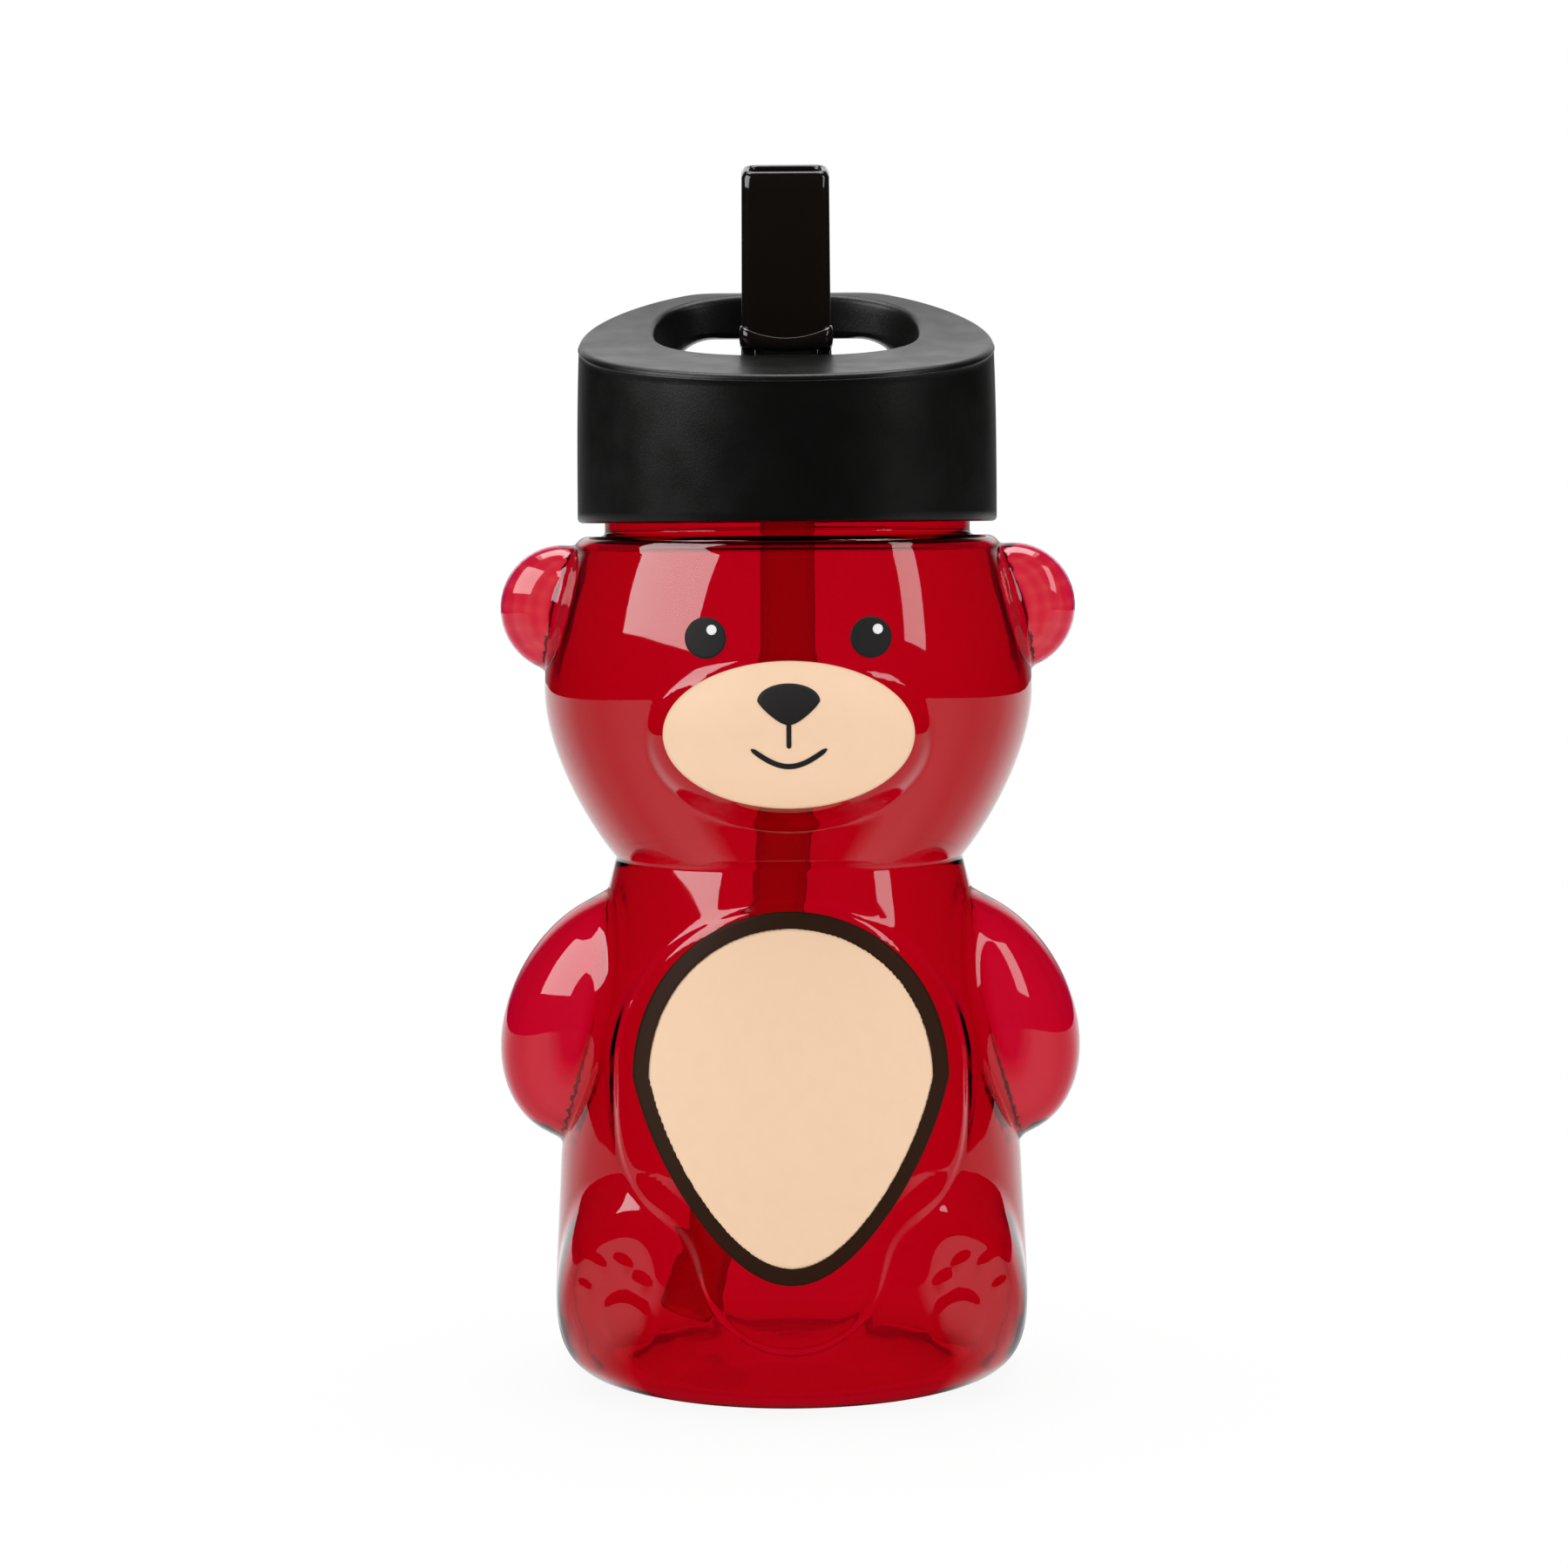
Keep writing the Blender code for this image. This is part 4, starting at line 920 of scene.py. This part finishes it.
def valve():
    """Mushroom valve: domed cap above the deck, soft skirt below it."""
    under, over = SEAT - 0.3 * MM, DECK + 0.3 * MM
    profile = [(0, under - 0.9 * MM), (1.7 * MM, under - 0.9 * MM), (2.8 * MM, under), (1.0 * MM, under)]
    profile += [(1.0 * MM, over), (2.3 * MM, over), (2.2 * MM, over + 0.3 * MM)]
    profile += [(1.6 * MM, over + 0.64 * MM), (0, over + 0.8 * MM)]
    shape = turned(profile, 40, VALVE_PLACE)
    keep("vent_button", shape, soft_rubber, "lid", ("vent_valve",), 50)


def straw():
    """Bent tube from the seal down to one side of the base."""
    top, bend_start, bend_radius, end = SEAT - 1.2 * MM, 100 * MM, 269 * MM, 9.5 * MM
    sweep = math.asin((bend_start - end) / bend_radius)
    route = [(Vector((0, PIVOT.y, blend(top, bend_start, i / 6))), 0.0) for i in range(7)]
    for i in range(1, 29):
        turn = sweep * i / 28
        across = -bend_radius * (1 - math.cos(turn))
        route.append((Vector((across, PIVOT.y, bend_start - bend_radius * math.sin(turn))), turn))

    def circle(centre, turn, radius, sink=0.0):
        spin = Matrix.Rotation(turn, 3, "Y")
        angles = [math.tau * i / 48 for i in range(48)]
        points = [Vector((math.cos(a), math.sin(a), 0)) * radius for a in angles]
        return [centre + spin @ (p + Vector((0, 0, sink))) for p in points]

    rings = [circle(c, t, STRAW_RADIUS) for c, t in route]
    for i in range(1, 6):
        angle = math.pi * i / 6
        rings.append(circle(*route[-1], (3.6 + 0.4 * math.cos(angle)) * MM, -0.4 * MM * math.sin(angle)))
    rings += [circle(c, t, STRAW_BORE) for c, t in reversed(route)]
    shape = looped(stack(rings + [rings[0]]))
    keep("straw_tube", shape, straw_plastic, "lid", ("straw",), 60)


# Studio

def studio_world():
    """Even light. In gloss it is dark but for white paper behind the bottle and high over it."""
    world = bpy.data.worlds.new("studio")
    world.use_nodes = True
    world.node_tree.nodes.clear()
    bpy.context.scene.world = world
    path, place, split = (node(world, kind) for kind in ("LightPath", "TexCoord", "SeparateXYZ"))
    join(world, place.outputs["Generated"], split.inputs["Vector"])
    raised = sums(world, "MULTIPLY_ADD", split.outputs["Z"], 0.35, split.outputs["Y"])
    behind = node(world, "MapRange", From_Min=0.84, From_Max=0.98, To_Min=0.01, To_Max=1.15)
    above = node(world, "MapRange", From_Min=0.04, From_Max=0.22, To_Min=0.25, To_Max=1.0)
    for ramp, source in ((behind, raised), (above, split.outputs["Z"])):
        ramp.interpolation_type = "SMOOTHSTEP"
        join(world, source, ramp.inputs["Value"])
    around = node(world, "Background", Color=LIGHT, Strength=0.93)
    gloss = node(world, "Background", Color=LIGHT)
    paper = node(world, "Background", Color=LIGHT, Strength=1.0)
    level = sums(world, "MULTIPLY", behind.outputs["Result"], above.outputs["Result"])
    join(world, level, gloss.inputs["Strength"])
    seen = sums(world, "MAXIMUM", path.outputs["Is Camera Ray"], path.outputs["Is Transmission Ray"])
    lit = mixed(world, path.outputs["Is Glossy Ray"], around.outputs[0], gloss.outputs[0])
    whole = mixed(world, seen, lit, paper.outputs[0])
    join(world, whole, node(world, "OutputWorld").inputs["Surface"])


def studio_floor():
    """White table: plain near the bottle and paper white further off.

    In gloss its front is unlit, as behind a black flag, and its front corners are bright."""
    made = finish("white_table", (0.9, 0.9, 0.9, 1), 0.6)
    nodes = made.node_tree.nodes
    path, place, split = (node(made, kind) for kind in ("LightPath", "TexCoord", "SeparateXYZ"))
    length = node(made, "VectorMath")
    length.operation = "LENGTH"
    for target in (length, split):
        join(made, place.outputs["Object"], target.inputs[0])
    far = node(made, "MapRange", From_Min=0.04, From_Max=0.11, To_Min=0.92, To_Max=1.0)
    join(made, length.outputs["Value"], far.inputs["Value"])
    turned_to = node(made, "MapRange", From_Min=-1.0)
    direction = sums(made, "DIVIDE", split.outputs["Y"], length.outputs["Value"])
    join(made, direction, turned_to.inputs["Value"])
    shine = node(made, "ValToRGB")
    stops = [(0.0, 0.02), (0.15, 0.02), (0.27, 0.75), (0.4, 0.7), (0.55, 0.4), (0.72, 0.45), (0.9, 1.0)]
    while len(shine.color_ramp.elements) < len(stops):
        shine.color_ramp.elements.new(0.5)
    for stop, (position, level) in zip(shine.color_ramp.elements, stops):
        stop.position = position
        stop.color = (level, level, level, 1)
    join(made, turned_to.outputs["Result"], shine.inputs["Fac"])
    paper, mirrored = node(made, "Emission", Strength=1.0), node(made, "Emission", Strength=1.0)
    join(made, shine.outputs["Color"], mirrored.inputs["Color"])
    straight = sums(made, "MAXIMUM", path.outputs["Is Camera Ray"], path.outputs["Is Transmission Ray"])
    seen = sums(made, "MULTIPLY", far.outputs["Result"], straight)
    plain = nodes["Principled BSDF"].outputs[0]
    lit = mixed(made, path.outputs["Is Glossy Ray"], plain, mirrored.outputs[0])
    join(made, mixed(made, seen, lit, paper.outputs[0]), nodes["Material Output"].inputs["Surface"])
    shape = bmesh.new()
    bmesh.ops.create_grid(shape, x_segments=8, y_segments=8, size=1.0)
    for vert in shape.verts:
        vert.co = Vector((vert.co.x * 1.2, blend(-0.6, 3.0, (vert.co.y + 1) / 2), 0))
    floor = keep("white_table", shape, made, None, straight=True)
    floor.data.transform(Matrix.Translation((0, -SET_BACK, 0)))


def softbox(name, azimuth, elevation, wide, tall, level, roll=0.0, diffuse=False):
    """A lamp panel a metre from the bear, seen in gloss but not by the camera.

    Azimuth counts from the camera's side to the left, and the level is its brightness."""
    aim = Vector((0, 0, 0.1))
    turn, rise = math.radians(azimuth), math.radians(elevation)
    side = Vector((-math.sin(turn) * math.cos(rise), -math.cos(turn) * math.cos(rise), math.sin(rise)))
    light = bpy.data.lights.new(name, "AREA")
    light.shape = "RECTANGLE"
    light.size, light.size_y = wide, tall
    light.energy = level * math.pi * wide * tall
    obj = bpy.data.objects.new(name, light)
    facing = side.to_track_quat("Z", "Y").to_matrix().to_4x4()
    obj.matrix_world = Matrix.Translation(aim + side) @ facing @ Matrix.Rotation(math.radians(roll), 4, "Z")
    obj.visible_camera = False
    obj.visible_transmission = False
    obj.visible_diffuse = diffuse
    bpy.context.scene.collection.objects.link(obj)


def camera():
    """The camera, half a metre off and looking down a little."""
    data = bpy.data.cameras.new("camera")
    data.lens = 84.8
    data.sensor_width = 36.0
    data.shift_y = -0.05
    obj = bpy.data.objects.new("camera", data)
    pitch = Matrix.Rotation(math.radians(90 - 2.667), 4, "X")
    roll = Matrix.Rotation(math.radians(-0.35), 4, "Z")
    obj.matrix_world = Matrix.Translation((-0.65 * MM, -0.54555, 0.1243)) @ pitch @ roll
    bpy.context.scene.collection.objects.link(obj)
    bpy.context.scene.camera = obj


shell = bear_shell()
skin_tree = BVHTree.FromBMesh(shell)
keep("bear_shell", shell, bear_plastic, "bear", ("bottle",), 60)
prints(skin_tree)
lid_shell()
for side in (-1, 1):
    cheek(side)
socket()
gasket()
valve()
seal()
straw()
pivot_core()
mouthpiece()
studio_world()
studio_floor()
softbox("left_softbox", 67, 33, 0.73, 0.59, 6.2)
softbox("right_strip", -69, 31, 0.2, 0.6, 4.5, roll=-22)
softbox("overhead_softbox", 180, 77, 1.2, 0.5, 2.2, diffuse=True)
softbox("top_strip", 180, 80, 1.0, 0.42, 5.0)
camera()
bpy.context.scene.view_settings.view_transform = "Standard"
